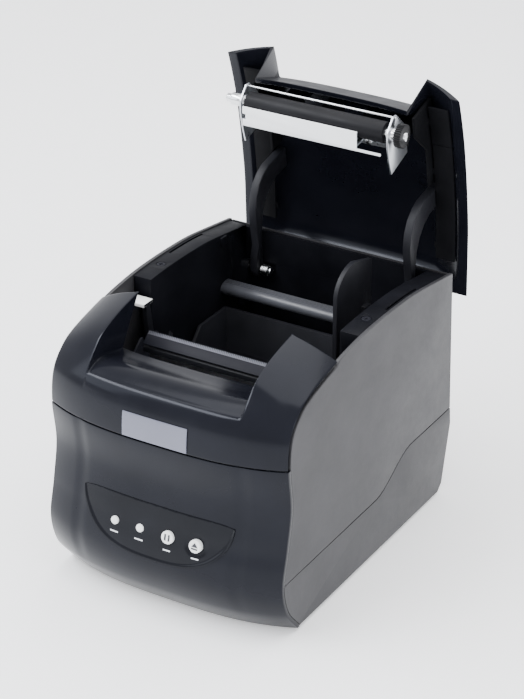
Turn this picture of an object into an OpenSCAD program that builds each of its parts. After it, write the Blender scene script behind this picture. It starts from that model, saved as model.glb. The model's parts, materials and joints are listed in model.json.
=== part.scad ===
// Receipt and label printer with an 80 mm paper path, modelled in millimetres.
// The design frame has y = 0 at the foot of the front corner and z = 0 under the case;
// place() moves it so that the origin is the bottom centre of the whole object.
// Lid parts are drawn closed, and open_lid() swings them to the open rest pose.

/* [Overall] */
// Width across the side panels
body_w = 148; // [130:1:180]
// Depth from the front corner's foot to the rear end of the deck
deck_end_y = 173; // [160:1:205]
// Height of the side edge where the hood meets the lid
deck_h = 143.5; // [135:0.5:175]
// How far the front bows out in the middle
bow_d = 12.2; // [4:0.2:16]
// How far the top rises in the middle
crown_h = 15; // [13:0.5:20]

/* [Housing] */
// Wall of the outer shells
wall = 2.4; // [1.8:0.1:3.0]
// Gap between neighbouring shells
seam_gap = 0.35; // [0.2:0.05:0.6]
// Height of the side seam at the front
side_seam_z = 34.3; // [28:0.5:42]
// Rise of the side seam towards the rear
side_seam_rise = 16; // [8:0.5:20]
// Half the width of the hood's mouth
mouth_half = 48; // [46:0.5:52]
// Depth of the mouth's floor under the horns
mouth_drop = 22; // [18:0.5:24]
// Inner half width of the paper bay
bay_half = 60; // [57:0.5:64]
// Height of the rubber feet under the case
foot_h = 2; // [1.5:0.5:5]

/* [Lid] */
// Angle that the lid stands open at
lid_open = 79.3; // [60:0.1:85]
// Radius of the hinge pins
hinge_pin_r = 2.2; // [1.6:0.1:2.4]
// Thickness of the two curved lid arms
arm_t = 5; // [3.5:0.5:5.5]

/* [Paper path] */
// Radius of the platen's rubber
platen_r = 6; // [5:0.25:7]
// Length of the platen's rubber
platen_len = 87; // [80:0.5:88]
// Radius of the platen's steel shaft
shaft_r = 2.5; // [2:0.1:3]
// Length of the tear bar
tear_len = 88; // [80:1:90]

/* [Controls] */
// Radius of the two buttons
button_r = 3.7; // [3:0.1:4.5]
// Travel of the two buttons
button_travel = 1; // [0.5:0.1:1.5]
// Radius of the two lamp windows
lamp_r = 2.3; // [1.5:0.1:3]

/* [Hidden] */
$fn = 48;
eps = 0.01;
half_w = body_w / 2;
run_gap = 0.05;   // radial clearance of a running fit
move_gap = 0.4;   // gap kept between bodies that pass each other

// ---- the styling curves -------------------------------------------------
// Side outline at x = half_w from the front foot, over the brow, to the deck's rear end.
seam_z = 0.714 * deck_h;
side_line = [[0, 0], [-12, 0.104 * deck_h], [-17, 0.237 * deck_h], [-12.6, 0.383 * deck_h],
             [-8.6, 0.544 * deck_h], [-11.2, seam_z], [-9, 0.836 * deck_h],
             [-1, 0.909 * deck_h], [11.5, 0.955 * deck_h], [40, deck_h],
             [66, deck_h + 3.2], [88, deck_h + 3.9], [109, deck_h + 3.5],
             [deck_end_y - 45, deck_h + 2.3], [deck_end_y - 20, deck_h - 1.2],
             [deck_end_y, deck_h - 4.2]];
u_seam = 5;    // the front seam between the case and the hood
u_horn = 9;    // where the hood's horns end and the lid begins
u_end = 15;
rear_line = [[deck_end_y, deck_h - 4.2], [deck_end_y + 3.8, side_seam_z + side_seam_rise],
             [deck_end_y + 4.2, 40], [deck_end_y - 4.6, 4], [deck_end_y - 9, 0]];

function clampi(i, n) = max(0, min(n, i));
function spline(p, u) =
    let (n = len(p) - 1, i = clampi(floor(u), n - 1), t = u - i,
         a = p[clampi(i - 1, n)], b = p[i], c = p[i + 1], d = p[clampi(i + 2, n)])
    0.5 * (2 * b + (c - a) * t + (2 * a - 5 * b + 4 * c - d) * t * t + (3 * b - a - 3 * c + d) * t * t * t);
function unit2(v) = v / norm(v);
// The outline moved inwards by d, along its own normal.
function inset(u, d) =
    let (t = unit2(spline(side_line, u + 0.02) - spline(side_line, u - 0.02)))
    spline(side_line, u) + d * [t[1], -t[0]];
function side_run(u0, u1, steps, d) = [for (i = [0 : steps]) inset(u0 + (u1 - u0) * i / steps, d)];
// Height of the side edge over a given y, on the top part of the outline.
function top_u(y, lo = 9, hi = 15, n = 22) =
    n == 0 ? (lo + hi) / 2
           : let (m = (lo + hi) / 2) (spline(side_line, m)[0] < y ? top_u(y, m, hi, n - 1) : top_u(y, lo, m, n - 1));
function top_z(y) = spline(side_line, top_u(y))[1];

function ramp(t) = let (c = max(0, min(1, t))) c * c * (3 - 2 * c);
function bulge(x) = 1 - pow(min(1, abs(x) / half_w), 3);
function bow_share(u) = 1 - 0.65 * ramp((u - 5.6) / 3.4) - 0.35 * ramp((u - 9) / 1.5);
function crown_share(u) = ramp((u - 5) / 3.6);
// A point of the bowed and crowned outer skin, d under it.
function skin(u, x, d = 0) =
    let (s = inset(u, d))
    [x, s[0] - bow_d * bow_share(u) * bulge(x), s[1] + crown_h * crown_share(u) * bulge(x)];

// The mouth's floor leaves the brow and runs back, low, to the tear bar.
mouth_end_y = 34;
mouth_line = [[-20.1, 0.862 * deck_h], [-12, deck_h - 14.2], [-2, deck_h - 11.6],
              [12, deck_h - 14.2], [mouth_end_y, deck_h + crown_share(9) * 10.9 - mouth_drop - 6]];
u_lip = 6;     // where the floor leaves the brow
function mouth_point(u, x, d = 0) =
    let (t = (u - u_lip) / (u_horn - u_lip) * (len(mouth_line) - 2) + 0.35,
         s = spline(mouth_line, t), e = spline(mouth_line, t + 0.02), n = unit2(e - s),
         q = s + d * [n[1], -n[0]], b = bulge(x) - bulge(mouth_half))
    [x, q[0] - 0.8 * bow_d * b, q[1] + 0.12 * crown_h * b];
function mix3(a, b, t) = a * (1 - t) + b * t;
// The hood's centre follows the brow up to the lip and then turns into the mouth's floor.
function mouth_skin(u, x, d = 0) = mix3(skin(u, x, d), mouth_point(max(u, u_lip), x, d), ramp((u - 5.9) / 0.75));

// A closed shell between two grids of points with the same rows and columns.
module shell(outer, inner) {
    r = len(outer);
    c = len(outer[0]);
    n = r * c;
    pts = concat([for (row = outer) for (p = row) p], [for (row = inner) for (p = row) p]);
    at = function (i, j) i * c + j;
    quad = function (a, b, p, q) [[a, b, p], [a, p, q]];
    faces = concat(
        [for (i = [0 : r - 2]) for (j = [0 : c - 2])
            each quad(at(i, j), at(i + 1, j), at(i + 1, j + 1), at(i, j + 1))],
        [for (i = [0 : r - 2]) for (j = [0 : c - 2])
            each quad(n + at(i, j), n + at(i, j + 1), n + at(i + 1, j + 1), n + at(i + 1, j))],
        [for (j = [0 : c - 2]) each quad(at(0, j), at(0, j + 1), n + at(0, j + 1), n + at(0, j))],
        [for (j = [0 : c - 2])
            each quad(at(r - 1, j), n + at(r - 1, j), n + at(r - 1, j + 1), at(r - 1, j + 1))],
        [for (i = [0 : r - 2]) each quad(at(i, 0), n + at(i, 0), n + at(i + 1, 0), at(i + 1, 0))],
        [for (i = [0 : r - 2])
            each quad(at(i, c - 1), at(i + 1, c - 1), n + at(i + 1, c - 1), n + at(i, c - 1))]);
    polyhedron(pts, faces);
}

// ---- frame --------------------------------------------------------------
hinge_y = deck_end_y - 6.5;
hinge_z = deck_h - 29.5;
hub_r = hinge_pin_r + 2.4;
function swing(p) =
    let (y = p[1] - hinge_y, z = p[2] - hinge_z, c = cos(lid_open), s = sin(lid_open))
    [p[0], hinge_y + y * c + z * s, hinge_z - y * s + z * c];
lid_end_u = top_u(deck_end_y - 3.5);
case_rows = 14;     // rows of the front's grid
lid_rows = 15;      // rows of the lid's grid
lid_front_rows = 4; // rows on the lid's sloping front wall
lid_fold_u = top_u(deck_end_y - 112);    // where the lid's top meets its sloping front wall
lid_flat = 0.35;     // share of the crown kept between the horns
lid_tail = 16;      // length over which the crown dies away at the rear
lid_end_y = deck_end_y - 3.5;
front_y = min([for (i = [0 : case_rows]) skin(u_seam * i / case_rows, 0)[1]]);
lid_back_y = max([for (i = [0 : lid_rows]) swing(lid_skin(lid_u(i), 0))[1]]);
mid_y = (front_y + lid_back_y) / 2;

module place() { translate([0, -mid_y, foot_h]) children(); }
module open_lid() {
    place() translate([0, hinge_y, hinge_z]) rotate([-lid_open, 0, 0])
        translate([0, -hinge_y, -hinge_z]) children();
}
// A profile drawn in (y, z) and given a thickness along x.
module slab(x0, x1) { translate([x0, 0, 0]) rotate([90, 0, 90]) linear_extrude(x1 - x0) children(); }
module box(a, b) { translate(a) cube(b - a); }
module rod_x(x0, x1, y, z, r) { translate([x0, y, z]) rotate([0, 90, 0]) cylinder(r = r, h = x1 - x0); }
module both_sides() { children(); mirror([1, 0, 0]) children(); }

// ---- housing shells -----------------------------------------------------
function seam_height(y) = side_seam_z + side_seam_rise * ramp((y - 86) / 42);
function rear_y(z) = z > 40 ? deck_end_y + 4.2 * (deck_h - 4.2 - z) / (deck_h - 44.2)
                            : deck_end_y - 4.6 + 8.8 * (z - 4) / 36;

function wide_columns(n) = [for (i = [-n : n]) half_w * sign(i) * (1 - pow(1 - abs(i) / n, 1.5))];

module case_front() {
    rows = case_rows;
    cols = wide_columns(8);
    shell([for (i = [0 : rows]) [for (x = cols) skin(u_seam * i / rows, x)]],
          [for (i = [0 : rows]) [for (x = cols)
              skin(u_seam * i / rows, x * (half_w - wall) / half_w, wall)
              + [0, 0, i == 0 ? -skin(0, x * (half_w - wall) / half_w, wall)[2] : 0]]]);
}
boss_y = [28, deck_end_y - 23];
boss_x = half_w - 14;
boss_r = 4;
screw_r = 1.5;
pillar_x = 40;
pillar_y = [36, 57];
pillar_r = 4;
lamp_x = [-24.6, -8.6];
button_x = [9.3, 26.6];
dial_z = 0.355 * deck_h;
module bottom_case() {
    color("#26272b") place() {
        difference() {
            case_front();
            on_dial() for (x = concat(lamp_x, button_x)) translate([x, 0, -8]) cylinder(r = button_r + 0.7, h = 16);
        }
        difference() {
            union() {
                // floor
                linear_extrude(wall) polygon(concat(
                    [for (i = [-12 : 12]) let (x = (half_w - 1) * i / 12) [x, 1.2 - bow_d * bulge(x)]],
                    [[half_w - 1, deck_end_y - 9.8], [1 - half_w, deck_end_y - 9.8]]));
                // pillars under the print mechanism
                for (sx = [-1, 1], y = pillar_y) translate([sx * pillar_x, y, 0]) cylinder(r = pillar_r, h = mech_z0);
                both_sides() slab(half_w - wall, half_w) polygon(concat(
                    [for (i = [0 : 10]) inset(2 * i / 10, wall * 0.5)],
                    [[-11, side_seam_z]],
                    [for (i = [0 : 12]) let (y = 84 + 46 * i / 12) [y, seam_height(y)]],
                    [[rear_line[1][0] - 0.5, rear_line[1][1]]],
                    [for (i = [2 : 4]) rear_line[i]]));
                // rear wall of the tray, leaning with the outline
                slab(-half_w + wall - 0.4, half_w - wall + 0.4) polygon([
                    rear_line[4], rear_line[3], rear_line[2],
                    [rear_line[1][0], rear_line[1][1]],
                    [rear_line[1][0] - wall, rear_line[1][1]],
                    [rear_line[2][0] - wall, 40.3],
                    [rear_line[3][0] - wall, 4.9], [rear_line[4][0] - 0.7, wall]]);
                for (sx = [-1, 1], y = boss_y) translate([sx * boss_x, y, 0]) cylinder(r = boss_r, h = 22);
            }
            for (sx = [-1, 1], y = boss_y) {
                translate([sx * boss_x, y, -eps]) cylinder(r = screw_r + 0.3, h = 23);
                translate([sx * boss_x, y, -eps]) cylinder(r = 3.4, h = 2 + eps);
            }
            // window for the connector plate
            box([-plug_half, deck_end_y - 14, 7], [plug_half, deck_end_y + 8, 33]);
            for (sx = [-1, 1], y = [18, deck_end_y - 27]) translate([sx * foot_x, y, -eps])
                cylinder(r = 3, h = 1);
        }
    }
}
foot_x = half_w - 26;
plug_half = 46;

module side_panel() {
    union() {
        slab(half_w - wall, half_w) polygon(concat(
            side_run(2.02, u_horn - 0.03, 40, wall + seam_gap),
            side_run(u_horn + 0.06, u_end - 0.02, 24, seam_gap),
            [for (z = [deck_h - 7, 60]) [rear_y(z) - 0.2, z]],
            [[rear_y(52) - 0.2, seam_height(175) + seam_gap]],
            [for (i = [0 : 12]) let (y = 130 - 46 * i / 12) [y, seam_height(y) + seam_gap]]));
    }
    // two hooks that clip behind the frame
    for (y = [deck_end_y * 0.45, deck_end_y * 0.8])
        box([half_w - wall - 1.6, y, 60], [half_w - wall + eps, y + 8, 62]);
}
module side_panel_right() { color("#3a3b3e") place() side_panel(); }
module side_panel_left() { color("#3a3b3e") place() mirror([1, 0, 0]) side_panel(); }

rail_y0 = 67;
rail_z = wall;       // thickness of the deck rails
deck_drop = 1.0;     // deck's surface under the side panel's edge
deck_screw = [65.5 - 74 + half_w, 86];
bay_floor = 0.43 * deck_h;
beam_y = hinge_y - 22.5;
beam_z = hinge_z - 5.2;
rear_in = 2.2;       // inner wall's distance in front of the rear panel
module deck_profile(y0, y1, drop, t) {
    polygon(concat(
        [for (i = [0 : 16]) let (y = y0 + (y1 - y0) * i / 16) [y, top_z(y) - drop]],
        [for (i = [16 : -1 : 0]) let (y = y0 + (y1 - y0) * i / 16) [y, top_z(y) - drop - t]]));
}
module hinge_post() {
    // post inside the bay's wall that carries one hinge pin
    difference() {
        slab(post_in, bay_half + eps) union() {
            translate([hinge_y, hinge_z]) circle(r = 4.4);
            polygon([[hinge_y - 4.4, hinge_z], [hinge_y + 4.4, hinge_z],
                     [hinge_y + 4.4, bay_floor + 30], [hinge_y - 8, bay_floor + 30]]);
        }
        rod_x(post_in - 1, bay_half + 1, hinge_y, hinge_z, hinge_pin_r + run_gap);
    }
}
post_in = bay_half - 4.6;
module top_frame() {
    color("#1d1e21") place() {
        both_sides() {
            difference() {
                union() {
                    slab(bay_half, half_w - wall - seam_gap)
                        deck_profile(rail_y0, deck_end_y - 4, deck_drop, rail_z);
                    slab(bay_half, bay_half + wall) polygon(concat(
                        [for (i = [0 : 12]) let (y = rail_y0 + (deck_end_y - 4 - rail_y0) * i / 12)
                            [y, top_z(y) - deck_drop - 0.5]],
                        [[deck_end_y - 4, bay_floor], [rail_y0 + 8, bay_floor], [rail_y0, bay_floor + 30]]));
                    hinge_post();
                    // slot lip over the beam's end
                    box([bay_half - 1.2, beam_y + 6.4, beam_z - 6], [bay_half + eps, beam_y + 7.8, top_z(beam_y + 7) - 4]);
                    // nub on the rail's inner edge
                    box([bay_half - 1.6, 139.5, top_z(142) - 7], [bay_half + eps, 145, top_z(145) - deck_drop - 0.4]);
                    // front return of the rail
                    slab(bay_half, half_w - wall - seam_gap) polygon([
                        [rail_y0, top_z(rail_y0) - 1.4], [rail_y0 + 1.6, top_z(rail_y0 + 1.6) - 1.4],
                        [rail_y0 + 1.6, top_z(rail_y0) - 12], [rail_y0, top_z(rail_y0) - 12]]);
                }
                translate([deck_screw[0], deck_screw[1], top_z(deck_screw[1]) - 12])
                    cylinder(r = screw_r + 0.2, h = 20);
                translate([deck_screw[0], deck_screw[1], top_z(deck_screw[1]) - 2.6])
                    cylinder(r = 2.9, h = 10);
                // vent slot along the rail
                slab(half_w - 5.2, half_w - 3.7) polygon([
                    [101, top_z(101) - 6], [136, top_z(136) - 6], [136, top_z(136) + 3], [101, top_z(101) + 3]]);
            }
        }
        // rear wall of the bay and the shelf behind the beam
        difference() {
            slab(-bay_half - wall + eps, bay_half + wall - eps) polygon([
                [deck_end_y - 4, deck_h - 5.6], [deck_end_y - 1.6, deck_h - 5.8],
                [deck_end_y + 0.6, bay_floor], [deck_end_y - 1.7, bay_floor]]);
            // hollows where the lid arms turn
            both_sides() rod_x(arm_x - 8, post_in, hinge_y, hinge_z, hub_r + 0.2);
        }
    }
}
module rear_panel() {
    color("#222326") place() difference() {
        slab(-half_w + wall + seam_gap, half_w - wall - seam_gap) polygon([
            [deck_end_y - 1.2, deck_h - 5.2], [deck_end_y - 0.2, deck_h - 5.2],
            [rear_y(deck_h - 8), deck_h - 8], [rear_y(60), 60], [rear_line[1][0], side_seam_z + side_seam_rise + seam_gap],
            [rear_line[1][0] - 2, side_seam_z + side_seam_rise + seam_gap],
            [rear_y(bay_floor) - 2, bay_floor]]);
        // louvres over the power supply
        for (i = [-4 : 4], z = [66, 82]) translate([i * 9 - 1.2, deck_end_y - 6, z]) cube([2.4, 16, 12]);
    }
}

// The hood: horns beside the mouth and the low floor between them, in one moulding.
function hood_columns(shift) = concat(
    [for (i = [0 : 6]) -half_w + (half_w - mouth_half) * i / 6 + (i == 6 ? -shift : shift * (6 - i) / 6)],
    [for (i = [0 : 10]) (mouth_half - 0.5) * (i - 5) / 5 + shift * (i == 0 ? -1 : i == 10 ? 1 : 0)],
    [for (i = [6 : -1 : 0]) half_w - (half_w - mouth_half) * i / 6 - (i == 6 ? -shift : shift * (6 - i) / 6)]);
module front_hood() {
    rows = 20;
    u0 = u_seam + 0.03;
    u1 = u_horn - 0.01;
    horn = function (j) j < 7 || j > 17;
    color("#1b1c20") place() shell(
        [for (i = [0 : rows]) let (u = u0 + (u1 - u0) * i / rows, xs = hood_columns(0))
            [for (j = [0 : len(xs) - 1]) horn(j) ? skin(u, xs[j]) : mouth_skin(u, xs[j])]],
        [for (i = [0 : rows]) let (u = u0 + (u1 - u0) * i / rows, xs = hood_columns(wall))
            [for (j = [0 : len(xs) - 1]) horn(j) ? skin(u, xs[j], wall) : mouth_skin(u, xs[j], wall)]]);
}

badge_w = 40;
badge_u = [u_seam + 0.06, 5.74];
// A thin plate that follows the front's skin between two heights.
module front_patch(xs, low, high, out, deep, rows) {
    shell([for (i = [0 : rows]) [for (x = xs) skin(low(x) + (high(x) - low(x)) * i / rows, x, -out)]],
          [for (i = [0 : rows]) [for (x = xs) skin(low(x) + (high(x) - low(x)) * i / rows, x, deep)]]);
}
module badge_plate() {
    color("silver") place() front_patch([for (i = [-4 : 4]) badge_w / 2 * i / 4],
        function (x) badge_u[0], function (x) badge_u[1], 0.8, -0.05, 5);
}

// ---- control panel ------------------------------------------------------
dial_u = 2.8;
dial_c = skin(dial_u, 0);
module on_dial() {
    // frame of the half-moon panel: x across, y up the face, z out of it
    d = skin(dial_u + 0.3, 0) - skin(dial_u - 0.3, 0);
    translate(dial_c) rotate([atan2(d[2], d[1]), 0, 0]) children();
}
// Position along the front outline of a given height.
function front_u(z, lo = 0.5, hi = 5, n = 18) =
    n == 0 ? (lo + hi) / 2
           : let (m = (lo + hi) / 2) (spline(side_line, m)[1] < z ? front_u(z, m, hi, n - 1) : front_u(z, lo, m, n - 1));
moon_half = 47.3;
moon_z = [dial_z - 15.7, dial_z + 14.8];
function moon_low(x) = front_u(moon_z[1] - 2.4
    - (moon_z[1] - 2.4 - moon_z[0]) * sqrt(max(0, 1 - pow(abs(x) / moon_half, 2.6))));
module control_panel() {
    // half-moon panel with a straight upper edge, following the front's skin
    color("#15161a") place() difference() {
        front_patch([for (i = [-10 : 10]) moon_half * i / 10], function (x) moon_low(x),
            function (x) front_u(moon_z[1] - 2 * pow(abs(x) / moon_half, 8)), 0.9, -0.05, 6);
        on_dial() {
            for (x = lamp_x) translate([x, 0, -8]) cylinder(r = lamp_r + 0.1, h = 16);
            for (x = button_x) translate([x, 0, -8]) cylinder(r = button_r + 0.3, h = 16);
        }
    }
}
module lamp_windows() {
    color("white") place() on_dial() for (x = lamp_x)
        translate([x, 0, -1.0]) cylinder(r = lamp_r, h = 2.3);
}
module button() {
    // the cap stands its travel and 0.8 mm above the dial
    translate([0, 0, -3.4]) cylinder(r = button_r, h = 4.2 + button_travel);
    translate([0, 0, -5.2]) cylinder(r = button_r - 1.2, h = 2);
}
module pause_button() { color("white") place() on_dial() translate([button_x[0], 0, 0]) button(); }
module feed_button() { color("white") place() on_dial() translate([button_x[1], 0, 0]) button(); }
module control_board() {
    color("darkgreen") place() on_dial() {
        translate([-38, -8, -10.4]) cube([76, 16, 1.6]);
        for (x = button_x) translate([x - 3, -3, -8.9]) cube([6, 6, 1.9]);
        for (x = lamp_x) translate([x, 0, -8.9]) cylinder(r = 1.5, h = 4);
    }
}

// ---- feet and screws ----------------------------------------------------
module rubber_feet() {
    color("black") place() for (sx = [-1, 1], y = [18, deck_end_y - 27])
        translate([sx * foot_x, y, -foot_h]) {
            cylinder(r = 5, h = foot_h);
            cylinder(r = 2.9, h = foot_h + 0.9);
        }
}
module screw(r, head_r, len) {
    difference() {
        union() {
            cylinder(r = r, h = len);
            translate([0, 0, len - eps]) cylinder(r = head_r, h = 1.6);
        }
        for (a = [0, 90]) rotate(a) translate([-head_r * 0.6, -0.3, len + 0.8]) cube([head_r * 1.2, 0.6, 2]);
    }
}
module case_screws() {
    color("silver") place() for (sx = [-1, 1], y = boss_y)
        translate([sx * boss_x, y, 0.2]) mirror([0, 0, 1]) translate([0, 0, -18.6]) screw(screw_r, 2.9, 17);
}
module deck_screws() {
    color("dimgray") place() for (sx = [-1, 1])
        translate([sx * deck_screw[0], deck_screw[1], top_z(deck_screw[1]) - 12.18]) screw(screw_r, 2.6, 9.6);
}

// ---- paper bay ----------------------------------------------------------
bin_half = bay_half - 2.6;
bin_rim = bay_floor + 37;
bin_y = [62, beam_y - 3.5];
module bin_outline(d) {
    // side view of the bin: high rear rim, sloping front shoulder, round floor
    c = [(bin_y[0] + bin_y[1]) / 2, bay_floor + 12];
    r = (bin_y[1] - bin_y[0]) / 2;
    offset(delta = -d) union() {
        intersection() {
            translate(c) circle(r = r, $fn = 96);
            translate([0, 10]) square([220, bay_floor + 2]);
        }
        polygon([[bin_y[0], c[1]], [bin_y[1], c[1]], [bin_y[1], bin_rim], [111, bin_rim], [92, bin_rim - 20],
                 [bin_y[0] + 8, bin_rim - 24], [bin_y[0], c[1] + 10]]);
    }
}
module roll_bin() {
    color("#17181b") place() difference() {
        slab(-bin_half, bin_half) bin_outline(0);
        slab(-bin_half + 2, bin_half - 2) {
            bin_outline(2);
            polygon([[bin_y[0] + 2, bay_floor + 10], [bin_y[1] - 2, bay_floor + 10], [bin_y[1] - 2, bin_rim + 9],
                     [107, bin_rim + 9], [90, bin_rim - 5], [bin_y[0] + 2, bin_rim - 5]]);
        }
    }
}
beam_r = 3.4;
module ribbed_beam() {
    color("#43454b") place() slab(-bay_half + 0.2, bay_half - 0.2) difference() {
        union() {
            translate([beam_y - 1, beam_z]) circle(r = beam_r);
            polygon([[beam_y - 1, beam_z - beam_r], [beam_y + 4, beam_z - beam_r], [beam_y + 4, beam_z + beam_r],
                     [beam_y - 1, beam_z + beam_r]]);
            for (i = [0 : 3]) translate([beam_y - 0.6 + i * 1.3, beam_z + beam_r - eps]) square([0.5, 0.5]);
        }
        translate([beam_y - 0.4, beam_z - 4]) square([2.6, 4.4]);
    }
}
guide_x = 33;
guide_t = 2.6;
guide_front = 110;
guide_half = 4;   // half the saddle's width
module paper_guide() {
    top = deck_h + 10.5;
    color("#2b2c31") place() {
        slab(guide_x - guide_t / 2, guide_x + guide_t / 2) difference() {
            union() {
                polygon(concat(
                    [[guide_front, beam_z - 24]],
                    [for (i = [0 : 8]) let (a = 180 - 90 * i / 8)
                        [guide_front + 20 + 20 * cos(a), top - 16 + 16 * sin(a)]],
                    [[beam_y + 6, top - 6], [beam_y + 6, beam_z + 8], [beam_y - 8, beam_z + 7],
                     [beam_y - 8, beam_z - 9], [guide_front + 14, beam_z - 24]]));
            }
        }
        // saddle that runs on the beam
        slab(guide_x - guide_half, guide_x + guide_half) difference() {
            polygon([[beam_y - 8, beam_z - 6], [beam_y - 8, beam_z + 8], [beam_y + 7.5, beam_z + 8],
                     [beam_y + 7.5, beam_z - 5], [beam_y + 4.6, beam_z - 5], [beam_y + 4.6, beam_z - 2],
                     [beam_y - 5, beam_z - 6]]);
            translate([beam_y - 1, beam_z]) circle(r = beam_r + 0.3);
            translate([beam_y - 1, beam_z - 8]) square([5.3, beam_r + 8.9]);
        }
        // squeeze tab on the saddle
        box([guide_x + guide_t / 2 - eps, beam_y - 6, beam_z + 8 - eps], [guide_x + guide_half, beam_y + 1, beam_z + 14]);
    }
}

// ---- print mechanism ----------------------------------------------------
nip_y = 51;
nip_z = deck_h - 28.5;
gear_m = 0.4;
platen_teeth = 32;
idler_teeth = 48;
pinion_teeth = 14;
function pitch_r(n) = gear_m * n / 2;
gear_x = [50.6, 54.8];
idler_dir = [0.47, -0.883];
idler_reach = pitch_r(platen_teeth) + pitch_r(idler_teeth) + 2 * gear_m + move_gap;
idler_c = [nip_y, nip_z] + idler_dir * idler_reach;
pinion_c = idler_c + (pitch_r(idler_teeth) + pitch_r(pinion_teeth) + 0.12) * [-0.5, -0.866];
function tooth_ring(n, turn = 0) =
    [for (i = [0 : n - 1]) let (a = 360 * i / n + turn, p = 360 / n, r = pitch_r(n))
        each [for (q = [[-0.31, -1.15 * gear_m], [-0.2, 0], [-0.1, 0.85 * gear_m],
                        [0.1, 0.85 * gear_m], [0.2, 0], [0.31, -1.15 * gear_m]])
            (r + q[1]) * [cos(a + q[0] * p), sin(a + q[0] * p)]]];
mech_z0 = nip_z - 53;
board_z = 15.6;      // top of the main board
plate_left = [-53.6, -52.4];
plate_right = [47.9, 49.1];
module mech_plate(seat) {
    // one cheek of the sheet-metal frame, with the open seat for a platen bushing
    difference() {
        polygon([[30, mech_z0], [bin_y[0] - 0.6, mech_z0], [bin_y[0] - 0.6, bay_floor + 23], [72, nip_z - 22], [64, nip_z - 4], [62, nip_z + 3],
                 [nip_y + 4, nip_z + 6], [nip_y - 6, nip_z + 6], [34, nip_z - 3], [30, nip_z - 16]]);
        translate([nip_y, nip_z]) {
            circle(r = seat);
            polygon([[-seat, 0], [seat, 0], [seat + 1.6, 20], [-seat - 1.6, 20]]);
        }
        translate(idler_c) circle(r = 1.2);
        translate(head_pivot) circle(r = 1.5 + run_gap);
        translate(latch_pivot) circle(r = 1.5 + run_gap);
        translate(pinion_c) circle(r = motor_boss_r + run_gap);
    }
}
head_pivot = [39, nip_z - 25];
latch_pivot = [64, nip_z - 18];
bush_r = 3.6;
module mech_frame() {
    color("silver") place() {
        slab(plate_left[0], plate_left[1]) mech_plate(bush_r + 0.2);
        slab(plate_right[0], plate_right[1]) mech_plate(bush_r + 0.2);
        // base web that joins the cheeks
        difference() {
            box([plate_left[0], 30, mech_z0], [plate_right[1], bin_y[0] - 0.6, mech_z0 + 1.2]);
            // slot for the head's flat cable
            box([-14.6, 37.4, mech_z0 - 1], [14.6, 39, mech_z0 + 2]);
        }
        // front web behind the hood
        box([plate_left[0], 30, mech_z0], [plate_right[1], 31.2, nip_z - 1]);
    }
}
tear_z = deck_h - 13.5;
tear_y = 39;
module tear_bar() {
    pitch = 1.6;
    n = floor(tear_len / pitch);
    color("#55585f") place() translate([0, tear_y, tear_z]) rotate([38, 0, 0]) {
        translate([-tear_len / 2, -7, -1.2]) cube([tear_len, 7, 1]);
        translate([-n * pitch / 2, -eps, -1.2]) linear_extrude(1) for (i = [0 : n - 1])
            polygon([[i * pitch, -0.02], [(i + 1) * pitch, -0.02], [(i + 0.5) * pitch, 1.5]]);
    }
    color("#17181b") place() slab(-mouth_half + wall + 1.2, mouth_half - wall - 1.2)
        polygon([[mouth_end_y + 0.6, tear_z - 10], [mouth_end_y + 2.4, tear_z - 10],
                 [mouth_end_y + 2.6, tear_z - 5.6], [mouth_end_y + 0.6, tear_z - 7.2]]);
}
module paper_plate() {
    // bent sheet that leads the paper from the bin to the nip
    color("silver") place() slab(-44, 44) polygon([
        [nip_y + 5, nip_z - 12.5], [66, nip_z - 13], [76, nip_z - 30], [77, nip_z - 29.4],
        [66.6, nip_z - 12], [nip_y + 5, nip_z - 11.5]]);
}
module gap_sensor() {
    color("black") place() {
        box([-20, 56, nip_z - 20.5], [-8, 61, nip_z - 13.2]);
        translate([-14, 58.5, nip_z - 13.3]) cylinder(r = 0.9, h = 0.5);
    }
}
motor_r = 10;
motor_boss_r = 2.4;
module stepper_motor() {
    color("dimgray") place() {
        rod_x(plate_right[0] - 20, plate_right[0] - 0.1, pinion_c[0], pinion_c[1], motor_r);
        rod_x(plate_right[0] - 1, plate_right[0] + 0.9, pinion_c[0], pinion_c[1], motor_boss_r);
    }
}
module gear(n, c, bore, turn = 0) {
    slab(gear_x[0], gear_x[1]) translate(c) difference() {
        polygon(tooth_ring(n, turn));
        circle(r = bore);
    }
}
module motor_pinion() {
    color("goldenrod") place() {
        gear(pinion_teeth, pinion_c, 0.9, 60 + 180 / pinion_teeth);
        rod_x(plate_right[0] + 1.1, gear_x[1] + 0.8, pinion_c[0], pinion_c[1], 0.9);
    }
}
stud_r = 1.2;
module idler_gear() {
    color("black") place() {
        gear(idler_teeth, idler_c, stud_r + run_gap);
        slab(gear_x[1] - eps, gear_x[1] + 0.8) translate(idler_c) difference() {
            circle(r = 3);
            circle(r = stud_r + run_gap);
        }
    }
}
module gear_stud() {
    color("silver") place() {
        rod_x(plate_right[0], gear_x[1] + 2, idler_c[0], idler_c[1], stud_r);
        rod_x(gear_x[1] + 1.1, gear_x[1] + 2, idler_c[0], idler_c[1], 2.4);
    }
}
head_face_y = nip_y - platen_r - 0.3;   // face of the head, just clear of the closed platen
head_top = nip_z + 2.3;
module heat_sink() {
    color("silver") place() difference() {
        slab(-44, 44) union() {
            translate(head_pivot) circle(r = 3);
            polygon([[head_pivot[0] - 1.6, head_pivot[1]], [head_pivot[0] + 1.6, head_pivot[1]],
                     [head_face_y - 2.4, head_pivot[1] + 9], [head_face_y - 2.4, head_top],
                     [head_face_y - 4.4, head_top], [head_face_y - 4.4, head_pivot[1] + 9]]);
        }
        rod_x(-45, 45, head_pivot[0], head_pivot[1], 1.5 + run_gap);
    }
}
module thermal_head() {
    color("wheat") place() {
        box([-43, head_face_y - 2.4, nip_z - 11], [43, head_face_y - 0.4, head_top]);
        // glazed heater line
        rod_x(-41.5, 41.5, head_face_y - 0.9, nip_z, 0.8);
    }
}
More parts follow.
